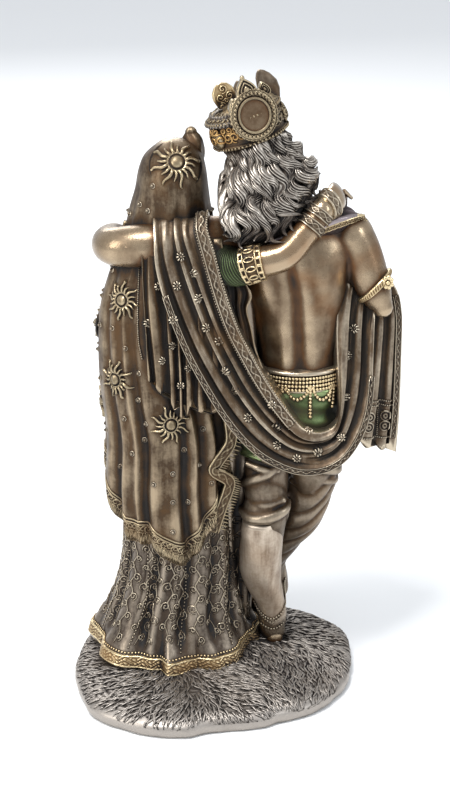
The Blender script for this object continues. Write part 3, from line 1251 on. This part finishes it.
def makeCrown():
    band = tilted(column((
        (-6.8, 0.8, 0, 11.9, 13.0), (-6.2, 0.8, -0.3, 14.1, 15.3), (-5.0, 0.8, -0.4, 14.2, 15.4),
        (-4.2, 0.8, -0.4, 13.4, 14.6),
        (0, 0.8, -0.6, 13.7, 15.1), (2.6, 0.8, -0.6, 13.4, 14.8), (3.4, 0.8, -0.6, 14.2, 15.5),
        (4.6, 0.8, -0.4, 14.0, 15.2),
        (5.4, 0.8, 0, 12.6, 13.6), (6.6, 0.8, 0, 10.8, 11.8), (7.4, 0.8, 0, 8.4, 9.2),
    ), steps=80, sides=160))
    dome = tilted(column((
        (5, 0, 0, 12, 12), (7.2, 0, 0, 9.5, 9.5), (8.4, 0, 0, 5, 5), (8.8, 0, 0, 1, 1),
    ), steps=24, sides=64, ripple=lambda turn, z: 0.05 * np.cos(12 * turn)))
    makePiece("crownBand", [
        band, dome,
        tilted(ball((13.4, 2.0, -1.5), (2.8, 4.4, 5.2), sides=36)),
        tilted(ball((-12.2, 2.0, -1.5), (2.0, 4.4, 4.8), sides=36)),
    ], "crown", rounds=10)
    makePiece("crownLeaves", [
        leaf(-12.2, -1.0, 3.0, 8.2, 13.0, 1.7, outline=((0, 0.6), (0.3, 0.95), (0.55, 1.0), (0.8, 0.72),
            (0.93, 0.42), (1, 0.12)), bend=1.8, veins=0),
        leaf(-4.0, -12.6, 3.0, 8.0, 10.0, 2.0, veins=0),
    ], "trousers", rounds=8)
    makePiece("crownSideLeaf", [
        leaf(9.8, 0.5, 2.6, 6.4, 5.6, 2.4, roundLeaf), leaf(11.0, 4.5, 1.6, 5.0, 4.4, 2.4, roundLeaf),
    ], "hair", rounds=8)
    makePiece("crownGoldLeaves", [leaf(4.7, -4.5, 4.4, 9.4, 12.0, 2.0, roundLeaf, veins=0)], "gold",
              rounds=8)
    discSize = crownLook["discSize"]
    plate = discPlate(((discSize * 0.9, -3.6), (discSize, -0.9), (discSize, -0.1), (discSize * 0.97, 0.35),
                       (7.4, 0.5), (7.0, 0.3), (6.6, -0.6), (1.0, -0.6)), scallop=0.06)
    makePiece("crownDisc", [
        plate, discRing(crownLook["ringSize"], crownLook["ringThick"], 0.5), discRing(9.2, 0.30, 0.3),
        teardrop(0.9, 14.4, 4.4, 4.2, 15.0), tilted(ball((0.9, 14.8, 18.7), (0.9, 0.9, 1.0), sides=14)),
        teardrop(-6.0, 11.6, 2.6, 2.8, 13.4), teardrop(6.6, 9.6, 2.8, 3.0, 13.4),
    ], "crown", rounds=6)
    face = [(6.2, 0.1)] + [(r, 0.48 - 0.25 * (1 - (r / 6) ** 2)) for r in np.linspace(6.1, 0.15, 26)]
    makePiece("crownDiscFace", [discPlate(face)], "skin")
    beads = []
    for k in range(crownLook["beads"]):
        angle = 2 * math.pi * k / crownLook["beads"]
        beads.append(ball(onDisc(crownLook["beadPlace"], angle, 0.62), (crownLook["beadSize"],) * 3,
                          sides=12))
        beads.append(ball(onDisc(9.25, angle + math.pi / crownLook["beads"], 0.30), (0.42,) * 3, sides=8))
    makePiece("crownBeads", beads, "crown", rounds=4)

    tree = surfaceOf("crownGoldLeaves")
    plume = []
    plumeX, plumeY, plumeZ = 4.7, -4.5, 4.4
    curls = ((-1.9, 3.0, 1.5), (1.9, 3.4, 1.5), (-1.8, 6.4, 1.6), (1.8, 6.8, 1.6), (0, 9.6, 1.7),
             (0, 5.0, 1.0))
    for k, (across, rise, size) in enumerate(curls):
        curl = spiral(size, 1.4, 1.3 * k, 1 if k % 2 else -1, 20) + (plumeX + across, plumeZ + rise)
        for facing in (1, -1):
            rays = [(onCrown(x, plumeY + 12 * facing, z), onCrown(x, plumeY, z)) for x, z in curl]
            plume += wired((towards(tree, *ray) for ray in rays), 8, crownLook["plumeStroke"], 0.3)
    makeOrnament("crownPlumeScrolls", plume, "gold")
    tree = surfaceOf("crownBand")
    scrolls, goldScrolls = [], []
    for k in range(crownLook["scrolls"]):
        degrees = 12 * k
        for z, size in ((-1.4, 2.2), (1.6, 1.4), (5.9, 1.2)):
            curl = spiral(size, 1.5, 1.2 * k, 1 if k % 2 else -1, 20)
            start = degrees + 6 * (0 < z < 5)
            made = wired((laidOnCrown(tree, start + math.degrees(u / 14.0), z + v) for u, v in curl), 8,
                         crownLook["scrollStroke"], 0.35)
            (goldScrolls if z < 3 and (330 < degrees or degrees < 62) else scrolls).extend(made)
    for z in (-5.6, 4.0):
        for k in range(crownLook["rimBeads"]):
            hit = laidOnCrown(tree, 360 * k / crownLook["rimBeads"], z)
            if hit is not None:
                spot = hit[0] + hit[1] * 0.0002
                scrolls.append(ball(spot, (0.0006,) * 3, sides=8))
    places = [(-38 + 7.0 * k + 3 * row, 3.6 + 2.3 * row) for k in range(15) for row in range(2)]
    bumps = medals(tree, (laidOnCrown(tree, *place) for place in places), 0.00125, studHeights, 16, 6)
    makeOrnament("crownBumps", bumps, "hair")
    makeOrnament("crownScrolls", scrolls, "crown")
    makeOrnament("crownGoldScrolls", goldScrolls, "amber")


makeCrown()


# his shawl, its hanging end, the mantle and the sash

beltRows = (
    (127.4, -29, -8.8, 16.8, 12.3), (128, -29, -8.8, 17.0, 12.6), (131, -29.1, -8.9, 16.5, 12.2),
    (133.8, -29.2, -9, 16.2, 12.0), (134.6, -29.2, -9, 16.9, 12.7), (135.6, -29.2, -9, 16.9, 12.7),
    (136.2, -29.2, -9, 15.9, 11.6),
)
shawlOuter = (
    (27, -9, 186), (27.2, -2, 195.5), (26.8, 6, 190), (26, 9, 180.6), (22.7, 10, 167.5), (16, 11, 149.8),
    (8.4, 12, 135), (-0.4, 12.5, 120.6), (-9.7, 13, 109.7), (-19.5, 12.5, 102.5), (-29.3, 11.5, 98.4),
    (-39.2, 9.5, 98.6), (-47.1, 6.5, 103), (-53.4, 2, 112.7), (-56.4, -3, 125), (-57, -7, 142.7),
    (-57.5, -10, 157),
)
shawlInner = (
    (5, -9, 188), (6, -2, 197), (6.5, 5, 194), (3.8, 7, 186.6), (-0.4, 8, 171.5), (-4.9, 8, 157.9),
    (-10.3, 7.5, 147), (-15.3, 7.5, 137.9), (-22.3, 8, 126.8), (-30.2, 8, 116.4), (-37.7, 7, 113.5),
    (-43.6, 5, 116.4), (-44.5, 2, 125.3), (-43.5, -1.5, 138.7), (-43, -4.5, 152), (-43.5, -8, 163),
    (-45, -11, 171),
)
shawlOut = (
    (0, -0.4, 1), (0, 0.4, 1), (0, 1, 0.5), (0, 1, 0), (0, 1, 0), (0, 1, 0), (0, 1, -0.1), (0, 1, -0.2),
    (0, 1, -0.2), (0, 1, -0.1), (0, 1, 0), (0, 1, 0), (-0.2, 1, 0), (-0.3, 1, 0), (-0.3, 1, 0),
    (-0.3, 1, 0), (-0.3, 1, 0),
)


def shawlFold(s, t):
    middle = np.sin(math.pi * np.clip(s, 0, 1))
    wander = s + (0.05 * np.sin(6 * t + 0.8) + 0.03 * np.sin(17 * t)) * middle
    folds = 3.0 * lapped(wander, (-0.03, 0.14, 0.42, 0.58, 0.75, 1.5), (1.0, 0.55, 0.95, 0.5, 0.5))
    folds = folds * (1 - ramp(s, 0.74, 0.79)) * (0.30 + 0.70 * ramp(t, 0.06, 0.30))
    band = 2.5 * ramp(s, 0.755, 0.80) * (1 - 0.5 * ramp(s, 0.985, 1.0))
    late = 3.2 * lapped(wander, (-0.06, 0.26, 0.60, 1.06), (1.0, 0.75, 0.9))
    turned = ramp(t, 0.54, 0.72)
    slow, fine = 0.4 * np.sin(5 * s + 9 * t), 0.08 * np.sin(50 * s + 5 * np.sin(6 * t))
    return 0.4 + (1 - turned) * np.maximum(folds, band) + turned * late + fine + slow


def alongSheet(left, right, outward, fold, s, low, high, steps=220, proud=0.1):
    count = 600
    left, right, outward = through(left, count), through(right, count), unitVector(through(outward, count))
    rise = np.array([float(fold(np.array([s]), t)[0]) for t in np.linspace(0, 1, count)]) + proud
    path = left + s * (right - left) + outward * rise[:, None]
    facing = unitVector(np.cross(np.gradient(path, axis=0), right - left))
    facing *= np.sign(np.einsum("ij,ij->i", facing, outward))[:, None]
    chosen = np.linspace(low * (count - 1), high * (count - 1), steps).astype(int)
    return toMetres(path[chosen]), facing[chosen]


def alongShawl(s, low, high, steps=220, proud=0.1):
    return alongSheet(shawlOuter, shawlInner, shawlOut, shawlFold, s, low, high, steps, proud)


tailLeft = ((-50, -20, 172), (-54, -19, 164), (-57, -14, 154), (-56.5, -11, 139), (-55, -10, 119),
            (-53, -9, 104))
tailRight = ((-58, -22, 172), (-66.2, -19.5, 164), (-69, -18, 154), (-69.4, -17, 140), (-69.4, -16.5, 116),
             (-68.6, -16, 99))
tailOut = ((-0.3, 1, 0.3), (-0.3, 1, 0))


def tailFold(s, t):
    return 0.3 + 2.2 * np.maximum(lapped(1 - s + 0.03 * math.sin(4 * t), (0.2, 0.56, 1.04)),
        0.9 * ramp(s, 0.76, 0.80))


def makeDrapery():
    shawl = sheet(shawlOuter, shawlInner, shawlOut, fold=shawlFold, thick=4.5, across=150, along=340)
    makePiece("shawl", [shawl], "shawl")
    tail = sheet(
        tailLeft, tailRight, tailOut, fold=tailFold, thick=4.5, across=90, along=160,
        drop=lambda s: 3.5 * np.abs(np.sin(2.5 * math.pi * s)),
    )
    tailInFront = sheet(
        left=((-53, -24, 160), (-52, -26, 140), (-52, -26, 120), (-52, -26, 107)),
        right=((-66, -22, 161), (-66, -23, 140), (-65.5, -23, 120), (-64.5, -23, 104)),
        outward=((-0.4, -1, 0), (-0.4, -1, 0)),
        fold=lambda s, t: 0.3 + 2.2 * ridges(((0.12, 1), (0.45, 0.8), (0.8, 1)), s, 0.12),
        thick=5.0, across=60, along=120,
        drop=lambda s: 3.0 * np.abs(np.sin(2 * math.pi * s)),
    )
    makePiece("shawlEnd", [tail, tailInFront], "shawl")
    besideBack = sheet(
        left=((3, 2, 180), (0, 3, 170), (-1, 3.5, 160), (-3, 4, 150), (-9, 4.5, 137)),
        right=((-5, 2.5, 176), (-9.8, 4.2, 168.5), (-8.2, 4.8, 162.5), (-10.0, 5.0, 154.5),
               (-11.8, 5.2, 146.4), (-14.8, 5.4, 138)),
        outward=((-0.2, 1, 0.1), (-0.2, 1, 0)),
        fold=lambda s, t: 0.2 + 1.5 * lapped(s + 0.03 * math.sin(9 * t), (-0.1, 0.38, 0.8, 1.3)),
        thick=5.0, across=70, along=160,
    )
    makePiece("clothBesideBack", [besideBack], "cloth")
    mantle = sheet(
        left=((-16, 1.5, 186.5), (-28, 2.2, 190.3), (-42.5, -1, 194.6), (-51, -7, 194.2), (-54.6, -14, 190)),
        right=((-14, -14, 201), (-26, -14, 201), (-38, -14, 199.5), (-46.5, -18, 195.6), (-50, -22, 189)),
        outward=((0, 0.5, 1), (0, 0.5, 1), (0, 0.4, 1), (-0.3, 0.3, 1), (-1, 0, 0.6)),
        fold=lambda s, t: 0.8 + 1.2 * ridges(((0.1, 1), (0.45, 0.7), (0.75, 0.9)), s, 0.13),
        thick=6.0, across=60, along=100,
    )
    makePiece("mantle", [mantle], "mantle")
    sashInFront = sheet(
        left=((-19, -19, 130), (-19, -25, 112), (-20, -31, 85), (-19, -34, 58)),
        right=((-34, -19, 130), (-35, -26, 112), (-35, -33, 85), (-34, -37, 60)),
        outward=((0, -1, 0), (0, -1, 0)),
        fold=lambda s, t: 0.5 + 2.0 * ridges(((0.12, 1), (0.5, 1), (0.88, 1)), s, 0.13),
        thick=6.0, across=60, along=120,
        drop=lambda s: 5.0 * np.abs(s - 0.5),
    )
    makePiece("sash", [sashInFront], "green")
    belt = column(beltRows, steps=24, sides=120)
    makePiece("belt", [belt], "relief", rounds=6)
    hips = column((
        (99, -24.5, -9.5, 20.8, 15.2), (108, -26.0, -9.0, 21.2, 15.9), (120, -27.8, -8.8, 18.9, 13.9),
        (128, -28.8, -8.8, 17.0, 12.3),
    ), steps=60, sides=160, ripple=lambda turn, z: 0.03 * np.sin(3 * turn + 0.35 * z)
    + 0.02 * np.sin(0.9 * z + 2 * turn))
    makePiece("hipCloth", [hips], "green")


makeDrapery()


# cuffs, belt and other jewels of the two figures

jewelLook = {"beltBead": 0.74, "beltRows": 4, "beltCount": 76, "swagBead": 0.00074, "swagGap": 0.00145,
             "chainBead": 0.00075, "chainGap": 0.00155, "pendant": 0.0026}


def makeJewels():
    makePiece("herArmlet", [cuff(sleeveAndArm, 0.415, 0.545, 0.5, windowBand, 60, 220)], "gold", rounds=14)
    wound = cuff(sleeveAndArm, 0.02, 0.415, 0.4, lambda s, d: 0.00028 * np.cos(78 * s + 35 * d), 260, 120)
    makePiece("herSleeve", [wound], "green", rounds=6)
    makePiece("herBracelets", [cuff(*row) for row in (
        (sleeveAndArm, 0.875, 0.925, 0.7, scrollBand, 20, 140),
        (sleeveAndArm, 0.945, 0.995, 0.7, scrollBand, 20, 140),
        (handOnShoulder, 0.08, 0.24, 0.7, scrollBand, 20, 140),
        (armInFront, 0.83, 0.88, 0.7, ropeBand, 12, 100),
        (armInFront, 0.90, 0.96, 0.7, scrollBand, 12, 100),
        (armInFront, 0.02, 0.20, 0.5, windowBand, 40, 140),
    )], "relief", rounds=8)
    x, y, z = -62.6, -3.6, 170.4
    rosette = [(x + 1.5 * math.cos(a), y, z + 1.9 * math.sin(a)) for a in np.linspace(0, 5.3, 7)]
    makePiece("hisArmlets", [
        cuff(armletAxis, 0.44, 0.80, 0.2, ropeBand, 20, 200),
        *[ball(spot, (0.95, 0.8, 1.1), 14) for spot in rosette],
        ball((x, -3.0, z), (0.9, 0.8, 0.9), 14), cuff(rightForearm, 0.80, 0.90, 0.7, scrollBand, 16, 120),
        cuff(leftArm, 0.90, 0.95, 0.7, scrollBand, 16, 120),
    ], "gold", rounds=6)

    beads = []
    for row in range(jewelLook["beltRows"]):
        z = 133.4 - 1.5 * row
        cx, cy, a, b = (v[0] for v in between(beltRows, np.array([z])))
        for k in range(jewelLook["beltCount"]):
            angle = 2 * math.pi * k / jewelLook["beltCount"]
            spot = (cx + (a + 0.3) * math.cos(angle), cy + (b + 0.3) * math.sin(angle), z)
            beads.append(ball(spot, (jewelLook["beltBead"],) * 3, sides=8))
    makePiece("beltBeads", beads, "gold", rounds=3)
    tree = surfaceOf("hipCloth", "belt")
    swags = []
    for rows in (
        ((-23.7, 130.1), (-25.2, 126.6), (-28.0, 125.0), (-31.2, 126.6), (-32.9, 130.1)),
        ((-34.0, 130.1), (-35.4, 126.4), (-37.9, 124.3), (-40.6, 126.2), (-41.7, 129.6)),
        ((-33.2, 130.0), (-33.2, 124.0), (-33.2, 117.1)),
        ((-22.4, 130.2), (-22.5, 127.0)), ((-20.8, 130.4), (-20.6, 126.4)),
        ((-42.4, 130.0), (-42.2, 124.6), (-41.9, 120.8)), ((-41.0, 130.0), (-40.9, 125.6), (-40.6, 122.4)),
    ):
        swags += beadsAlong(*traced(tree, rows, steps=16), jewelLook["swagBead"], jewelLook["swagGap"])
    for x in np.linspace(-52, -6, 6):
        rows = ((x, 130), (x + 2, 126.5), (x + 4.6, 125.5), (x + 7, 126.5), (x + 9, 130))
        path, normals = traced(tree, rows, side=-1, steps=8)
        if len(path) > 4:
            swags += beadsAlong(path, normals, jewelLook["swagBead"], jewelLook["swagGap"])
    makeOrnament("beltSwags", swags, "gold")

    chains = []
    for name, rows in (
        ("krishnaBody", ((-27.0, 192), (-26.0, 187), (-22.5, 183.5), (-17.5, 182.5), (-12.5, 184.5),
                         (-9.5, 189), (-9.5, 193))),
        ("krishnaBody", ((-30.5, 192), (-29.5, 185), (-25.0, 179.5), (-17.5, 177.8), (-10.5, 180.8),
                         (-7.0, 188), (-7.5, 192))),
        ("radhaNeck", ((13.6, 190), (14.6, 185.5), (19.0, 182.8), (23.6, 185.5), (24.8, 190))),
        ("radhaBlouse", ((10.0, 183), (12.0, 178.4), (19.4, 174.4), (27.0, 178.4), (29.0, 183))),
    ):
        tree = surfaceOf(name)
        path, normals = traced(tree, rows, side=-1, steps=10)
        chains += beadsAlong(path, normals, jewelLook["chainBead"], jewelLook["chainGap"])
        middle = np.argmin(path[:, 2])
        chains.append(medal(tree, path[middle], normals[middle], jewelLook["pendant"], rosetteHeights, 40,
            9))
    makeOrnament("necklaces", chains, "gold", rounds=4)

    tree = surfaceOf("mantle")
    path, normals = traced(tree, ((-21.5, 186.8), (-28.3, 188.3), (-34.0, 190.4), (-40.0, 192.6),
        (-46.0, 194.2), (-51.5, 194.8), (-55.0, 193.6)), steps=20)
    makeOrnament("mantleStrip", [strip(softened(path, 8), softened(normals, 20), 0.0028, filigree,
        thick=0.0014)], "gold", rounds=6)


makeJewels()


# veil ornaments

veilLook = {"sunSize": 0.0084, "studSize": 0.00125, "fringeLength": 5.2, "borderRise": 8.4,
            "borderLine": 0.00042, "curlSize": 2.0, "curls": 56, "curlStroke": 0.00036, "fringes": 190,
            "fringeStroke": 0.00030, "edgeWidth": 0.0046}
veilSuns = ((18.0, 218.0), (39.5, 164.7), (42.8, 133.0), (21.0, 117.0))
veilStuds = (
    (43.6, 153.3), (38.5, 146.5), (33.2, 137.3), (33.4, 125.9), (30.7, 116.9), (31.3, 109.4),
    (16.0, 105.6), (20.4, 97.0), (20.5, 85.1), (14.6, 84.0), (20.6, 72.7), (27.1, 209.1), (32.3, 201.1),
    (29.1, 199.4), (8.6, 113.0), (10.2, 99.0), (5.2, 90.5), (36.4, 103.5), (39.4, 117.5), (41.5, 95.0),
    (28.0, 92.5),
)


def hemAt(degrees):
    return np.interp(degrees, *np.array(veilHem).T)


def laidOnVeil(tree, degrees, z):
    cx, cy, _, _ = between(radhaVeil, np.array([z]))
    out = np.array((math.sin(math.radians(degrees)), math.cos(math.radians(degrees)), 0))
    return castOn(tree, metresAt(cx[0], cy[0], z) + 0.06 * out, -out)


def veilLine(tree, low, high, rise, count):
    return parted(laidOnVeil(tree, degrees, hemAt(degrees) + rise)
                  for degrees in np.linspace(low, high, count))


def makeVeilOrnaments():
    tree = surfaceOf("radhaVeil")
    suns = []
    for k, (x, z) in enumerate(veilSuns):
        spot, normal = fromBehind(tree, x, z)
        size = veilLook["sunSize"] * (1.2 if k == 0 else 1)
        suns.append(medal(tree, spot, normal, size, sunHeights, sides=168, rings=24, spin=0.2 * k))
    places = ((80, 185), (-95, 178), (-80, 140), (104, 150), (96, 118), (-100, 120))
    suns += medals(tree, (laidOnVeil(tree, *place) for place in places), veilLook["sunSize"], sunHeights, 96,
                   16)
    makeOrnament("veilSuns", suns, "crown", rounds=10)
    hits = [fromBehind(tree, *place) for place in veilStuds]
    for row in range(9):
        columns = (-112, -96, -78, 74, 90, 108)
        hits += [laidOnVeil(tree, degrees + 7 * (row % 2), 196 - 11 * row) for degrees in columns]
    studs = medals(tree, hits, veilLook["studSize"], studHeights, 16, 6)
    makeOrnament("veilStuds", studs, "relief")

    border = []
    for rise in (veilLook["borderRise"], veilLook["borderRise"] + 1.3):
        path, normals = veilLine(tree, -112, 112, rise, 260)
        border.append(wire(path, normals, veilLook["borderLine"]))
    size = veilLook["curlSize"]
    for k, degrees in enumerate(np.linspace(-112, 112, veilLook["curls"])):
        middle = hemAt(degrees) + 0.5 * (veilLook["borderRise"] + veilLook["fringeLength"]) - 0.2
        turned = 1 if k % 2 else -1
        curl = spiral(size, 1.5, math.pi * (k % 2), turned, 18)
        border += wired((laidOnVeil(tree, degrees + math.degrees(u / 25.0), middle + v) for u, v in curl), 8,
                        veilLook["curlStroke"], 0.4)
    for degrees in np.linspace(-115, 115, veilLook["fringes"]):
        low = hemAt(degrees) + 0.4
        border += wired((
            laidOnVeil(tree, degrees + 1.4 * share + random.uniform(-0.3, 0.3),
                       low + veilLook["fringeLength"] * share)
            for share in np.linspace(0, 1, 5)
        ), 4, veilLook["fringeStroke"], 0.5)
    makeOrnament("veilBorder", border, "crown", rounds=4)
    path = toMetres(through((
        (0.6, 5.5, 128), (-0.6, 4.5, 123), (-2.0, 3.0, 115), (-2.2, 2.5, 106), (3.0, 5.0, 98.5),
        (4.0, 6.0, 95.5), (-1.6, 3.0, 90),
        (-1.0, 3.0, 85), (1.6, 4.5, 78), (4.6, 6.0, 69),
    ), 120))
    outward = np.tile((-0.35, 0.94, 0.0), (len(path), 1))
    edge = [strip(path, outward, veilLook["edgeWidth"], scrollBand, thick=0.0016)]
    along = unitVector(np.gradient(path, axis=0))
    aside = unitVector(np.cross(outward, along))
    for k in range(2, 118, 2):
        start = path[k] + aside[k] * 0.0018 * (1 if aside[k][0] < 0 else -1)
        reach = np.array((-0.0030, -0.0016, -0.0016))
        strand = np.array([start + reach * t for t in np.linspace(0, 1, 5)])
        edge.append(wire(strand, np.tile(outward[0], (5, 1)), 0.00034, taper=0.4))
    makeOrnament("veilEdge", edge, "crown", rounds=4)
    path, normals = traced(tree, ((32.2, 188), (32.6, 175), (33.2, 162), (33.0, 150.5), (31.6, 143)),
        steps=10)
    makeOrnament("veilTrim", beadsAlong(path, normals, 0.00042), "relief")


makeVeilOrnaments()


# skirt relief: vines of curling scrolls up the folds, and the gold hem

skirtLook = {"vines": 27, "vineLow": 19.5, "vineHigh": 66.0, "curl": 1.8, "rise": 4.1, "stroke": 0.00031,
             "hemLow": 12.4,
             "hemHigh": 16.8, "hemLift": 0.45, "hemSides": 900, "beadSize": 0.00050}


def makeSkirtOrnaments():
    tree = surfaceOf("radhaSkirt", "clothBetween")
    lines = []
    for k in range(skirtLook["vines"]):
        middle = 360 * k / skirtLook["vines"] + random.uniform(0, 5)
        behindHer = 10 < middle < 200
        high = skirtLook["vineHigh"] if behindHer else 104
        z = skirtLook["vineLow"] + random.uniform(0, 3)
        stem = [(middle, z)]
        while z < high:
            narrow = float(between(radhaSkirt, np.array([z]))[2][0])
            turned = 1 if len(stem) % 2 else -1
            reach = math.degrees(skirtLook["curl"] * 0.9 / narrow)
            z += skirtLook["rise"]
            stem.append((middle + turned * 0.55 * reach, z))
            size = skirtLook["curl"] * random.uniform(0.7, 1.35)
            curl = spiral(size, 1.6, -math.pi / 2 + random.uniform(-0.6, 0.6), turned, 18)
            start = middle + turned * reach
            hits = (laidRound(tree, radhaSkirt, start + math.degrees(u / narrow), z - 1.5 + v) for u,
                    v in curl)
            lines += wired(hits, 10, skirtLook["stroke"], 0.3)
        if len(stem) > 2:
            path, normals = tracedRound(tree, radhaSkirt, stem, steps=5)
            lines.append(wire(path, normals, skirtLook["stroke"], taper=0.4))
    makeOrnament("skirtScrolls", lines, "relief", rounds=4)
    beads = []
    for k in range(9):
        middle = 40 * k + 15
        high = 60 if 10 < middle < 200 else 100
        path, normals = tracedRound(tree, radhaSkirt, ((middle, 19), (middle + 3, 40), (middle, high)),
            steps=30)
        beads += beadsAlong(path, normals, 0.00045, gap=0.0015)
    makeOrnament("skirtBeads", beads, "relief")

    sides = skirtLook["hemSides"]
    turn = circle(sides)
    rings = []
    s = np.linspace(-1, 1, 20)
    middleRadius = 35.0
    for z, share in zip(skirtLook["hemLow"] + (skirtLook["hemHigh"] - skirtLook["hemLow"]) * (s + 1) / 2, s):
        cx, cy, a, b = (v[0] for v in between(radhaSkirt, np.array([z])))
        swell = 1 + skirtRipple(turn, z)
        lift = skirtLook["hemLift"] + 1000 * filigree(np.full(sides, share), turn * middleRadius / 4.0)
        x, y = cx + (a * swell + lift) * np.cos(turn), cy + (b * swell + lift) * np.sin(turn)
        rings.append(np.stack([x, y, np.full(sides, z)], 1))
    inner = [rings[0] * (0.97, 0.97, 1) + (cx * 0.03, cy * 0.03, 0)]
    outer = [rings[-1] * (0.97, 0.97, 1) + (cx * 0.03, cy * 0.03, 0)]
    makePiece("skirtHem", [lofted(inner + rings + outer)], "gold", rounds=8)
    tree = surfaceOf("radhaSkirt")
    level = [(angle, skirtLook["hemHigh"] + 0.9) for angle in range(0, 361, 6)]
    beads = beadsAlong(*tracedRound(tree, radhaSkirt, level, steps=6), skirtLook["beadSize"], gap=0.0014)
    makeOrnament("hemBeads", beads, "gold")


makeSkirtOrnaments()


# shawl ornaments

shawlLook = {"rosetteSize": 0.0019, "stripWidth": 0.0040, "trimWidth": 0.0024, "beadSize": 0.00045}
shawlRosettes = (
    (16.5, 184.8), (18.0, 173.7), (10.2, 168.5), (19.6, 161.2), (2.7, 151.5), (0.0, 140.2), (-18.2, 126.1),
    (-8.9, 120.9), (-20.1, 116.9), (-20.2, 109.6), (-36.2, 106.4), (-32.7, 114.6), (-48.1, 141.0),
    (-47.1, 125.3), (12.0, 178.0), (7.0, 157.5), (-4.0, 132.0), (-28.0, 104.0), (-45.5, 111.0),
    (-50.5, 151.0),
)
pleatRosettes = ((25.3, 172.9), (29.6, 158.6), (28.8, 133.9), (14.0, 141.0), (20.0, 150.0), (24.0, 144.0),
                 (17.0, 134.0))


def makeShawlOrnaments():
    tree = surfaceOf("shawl")
    size = shawlLook["rosetteSize"]
    roses = medals(tree, (fromBehind(tree, *place) for place in shawlRosettes), size, rosetteHeights, 40, 9)
    tree = surfaceOf("veilPleats")
    roses += medals(tree, (fromBehind(tree, *place) for place in pleatRosettes), size * 0.85, rosetteHeights,
                    40, 9)
    makeOrnament("shawlRosettes", roses, "relief", rounds=4)
    path, normals = alongShawl(0.885, 0.07, 0.54)
    bands = [strip(path, normals, shawlLook["stripWidth"], scrollBand, thick=0.0012, across=22)]
    path, normals = alongShawl(0.045, 0.24, 0.90, steps=260)
    bands.append(strip(path, normals, shawlLook["trimWidth"], scrollBand, thick=0.0012, across=16))
    makeOrnament("shawlStrip", bands, "relief", rounds=8)
    trim = []
    for s in (0.782, 0.985):
        trim += beadsAlong(*alongShawl(s, 0.07, 0.54, proud=0.2), shawlLook["beadSize"], gap=0.0011)
    makeOrnament("shawlTrim", trim, "relief")

    tree = surfaceOf("shawlEnd")
    relief = []
    for x, z in ((-57.8, 112.6), (-57.4, 108.4), (-64.2, 112.2), (-64.0, 108.0)):
        spot, normal = fromBehind(tree, x, z)
        relief.append(medal(tree, spot, normal, 0.0024, ringHeights, 32, 12))
    for rows in (((-54.4, 119.5), (-60, 119), (-67.5, 118)), ((-54.2, 117.7), (-60, 117.2), (-67.3, 116.2)),
                 ((-53.8, 103.8), (-60, 103.4), (-66.6, 102.6)), ((-61.0, 118), (-61.0, 103.5))):
        relief += beadsAlong(*traced(tree, rows, steps=14), 0.00042)
    makeOrnament("shawlEndRelief", relief, "relief", rounds=4)
    path, normals = alongSheet(tailLeft, tailRight, tailOut, tailFold, 0.885, 0.28, 0.97, steps=160)
    band = strip(path, normals, 0.0027, scrollBand, thick=0.0012)
    makeOrnament("shawlEndStrip", [band], "relief", rounds=6)


makeShawlOrnaments()


# floor, light and camera

studioLook = {"floor": (0.86, 0.87, 0.88, 1), "sky": (0.93, 0.96, 1.0, 1), "skyStrength": 0.80,
              "aim": (0, 0, 0.13),
              "camera": (-0.004, 0.662, 0.385), "cameraDown": 21.6, "lens": 81.7, "sensor": 36}
studioLights = (
    ("overhead", (0.25, 0.35, 1.1), (0.35, 0.35), 11.0, (1, 1, 1)),
    ("left", (0.9, 0.55, 0.55), (0.3, 0.6), 4.5, (1.0, 0.97, 0.92)),
    ("right", (-0.9, 0.5, 0.6), (0.25, 0.6), 2.5, (0.9, 0.95, 1.0)),
    ("front", (0.2, -1.0, 0.7), (0.6, 0.6), 5.0, (1, 1, 1)),
)


def makeStudio():
    scene = bpy.context.scene
    floorMesh = bpy.data.meshes.new("floor")
    floorMesh.from_pydata([(-3, -3, 0), (3, -3, 0), (3, 3, 0), (-3, 3, 0)], [], [(0, 1, 2, 3)])
    floor = bpy.data.objects.new("floor", floorMesh)
    scene.collection.objects.link(floor)
    white = bpy.data.materials.new("paleFloor")
    white.use_nodes = True
    paint = white.node_tree.nodes["Principled BSDF"].inputs
    paint["Base Color"].default_value = studioLook["floor"]
    paint["Roughness"].default_value = 0.8
    floorMesh.materials.append(white)

    world = bpy.data.worlds.new("studio")
    scene.world = world
    world.use_nodes = True
    sky = world.node_tree.nodes["Background"].inputs
    sky["Color"].default_value = studioLook["sky"]
    sky["Strength"].default_value = studioLook["skyStrength"]

    for name, place, size, power, colour in studioLights:
        light = bpy.data.lights.new(name, "AREA")
        light.shape = "RECTANGLE"
        light.size, light.size_y = size
        light.energy = power
        light.color = colour
        lamp = bpy.data.objects.new(name, light)
        lamp.location = place
        lamp.rotation_euler = (Vector(studioLook["aim"]) - Vector(place)).to_track_quat("-Z", "Y").to_euler()
        scene.collection.objects.link(lamp)

    camera = bpy.data.cameras.new("photoCamera")
    camera.sensor_fit = "VERTICAL"
    camera.sensor_height = studioLook["sensor"]
    camera.lens = studioLook["lens"]
    view = bpy.data.objects.new("photoCamera", camera)
    view.location = studioLook["camera"]
    view.rotation_euler = (math.radians(90 - studioLook["cameraDown"]), 0, math.radians(180))
    scene.collection.objects.link(view)
    scene.camera = view
    scene.view_settings.view_transform = "Standard"


makeStudio()
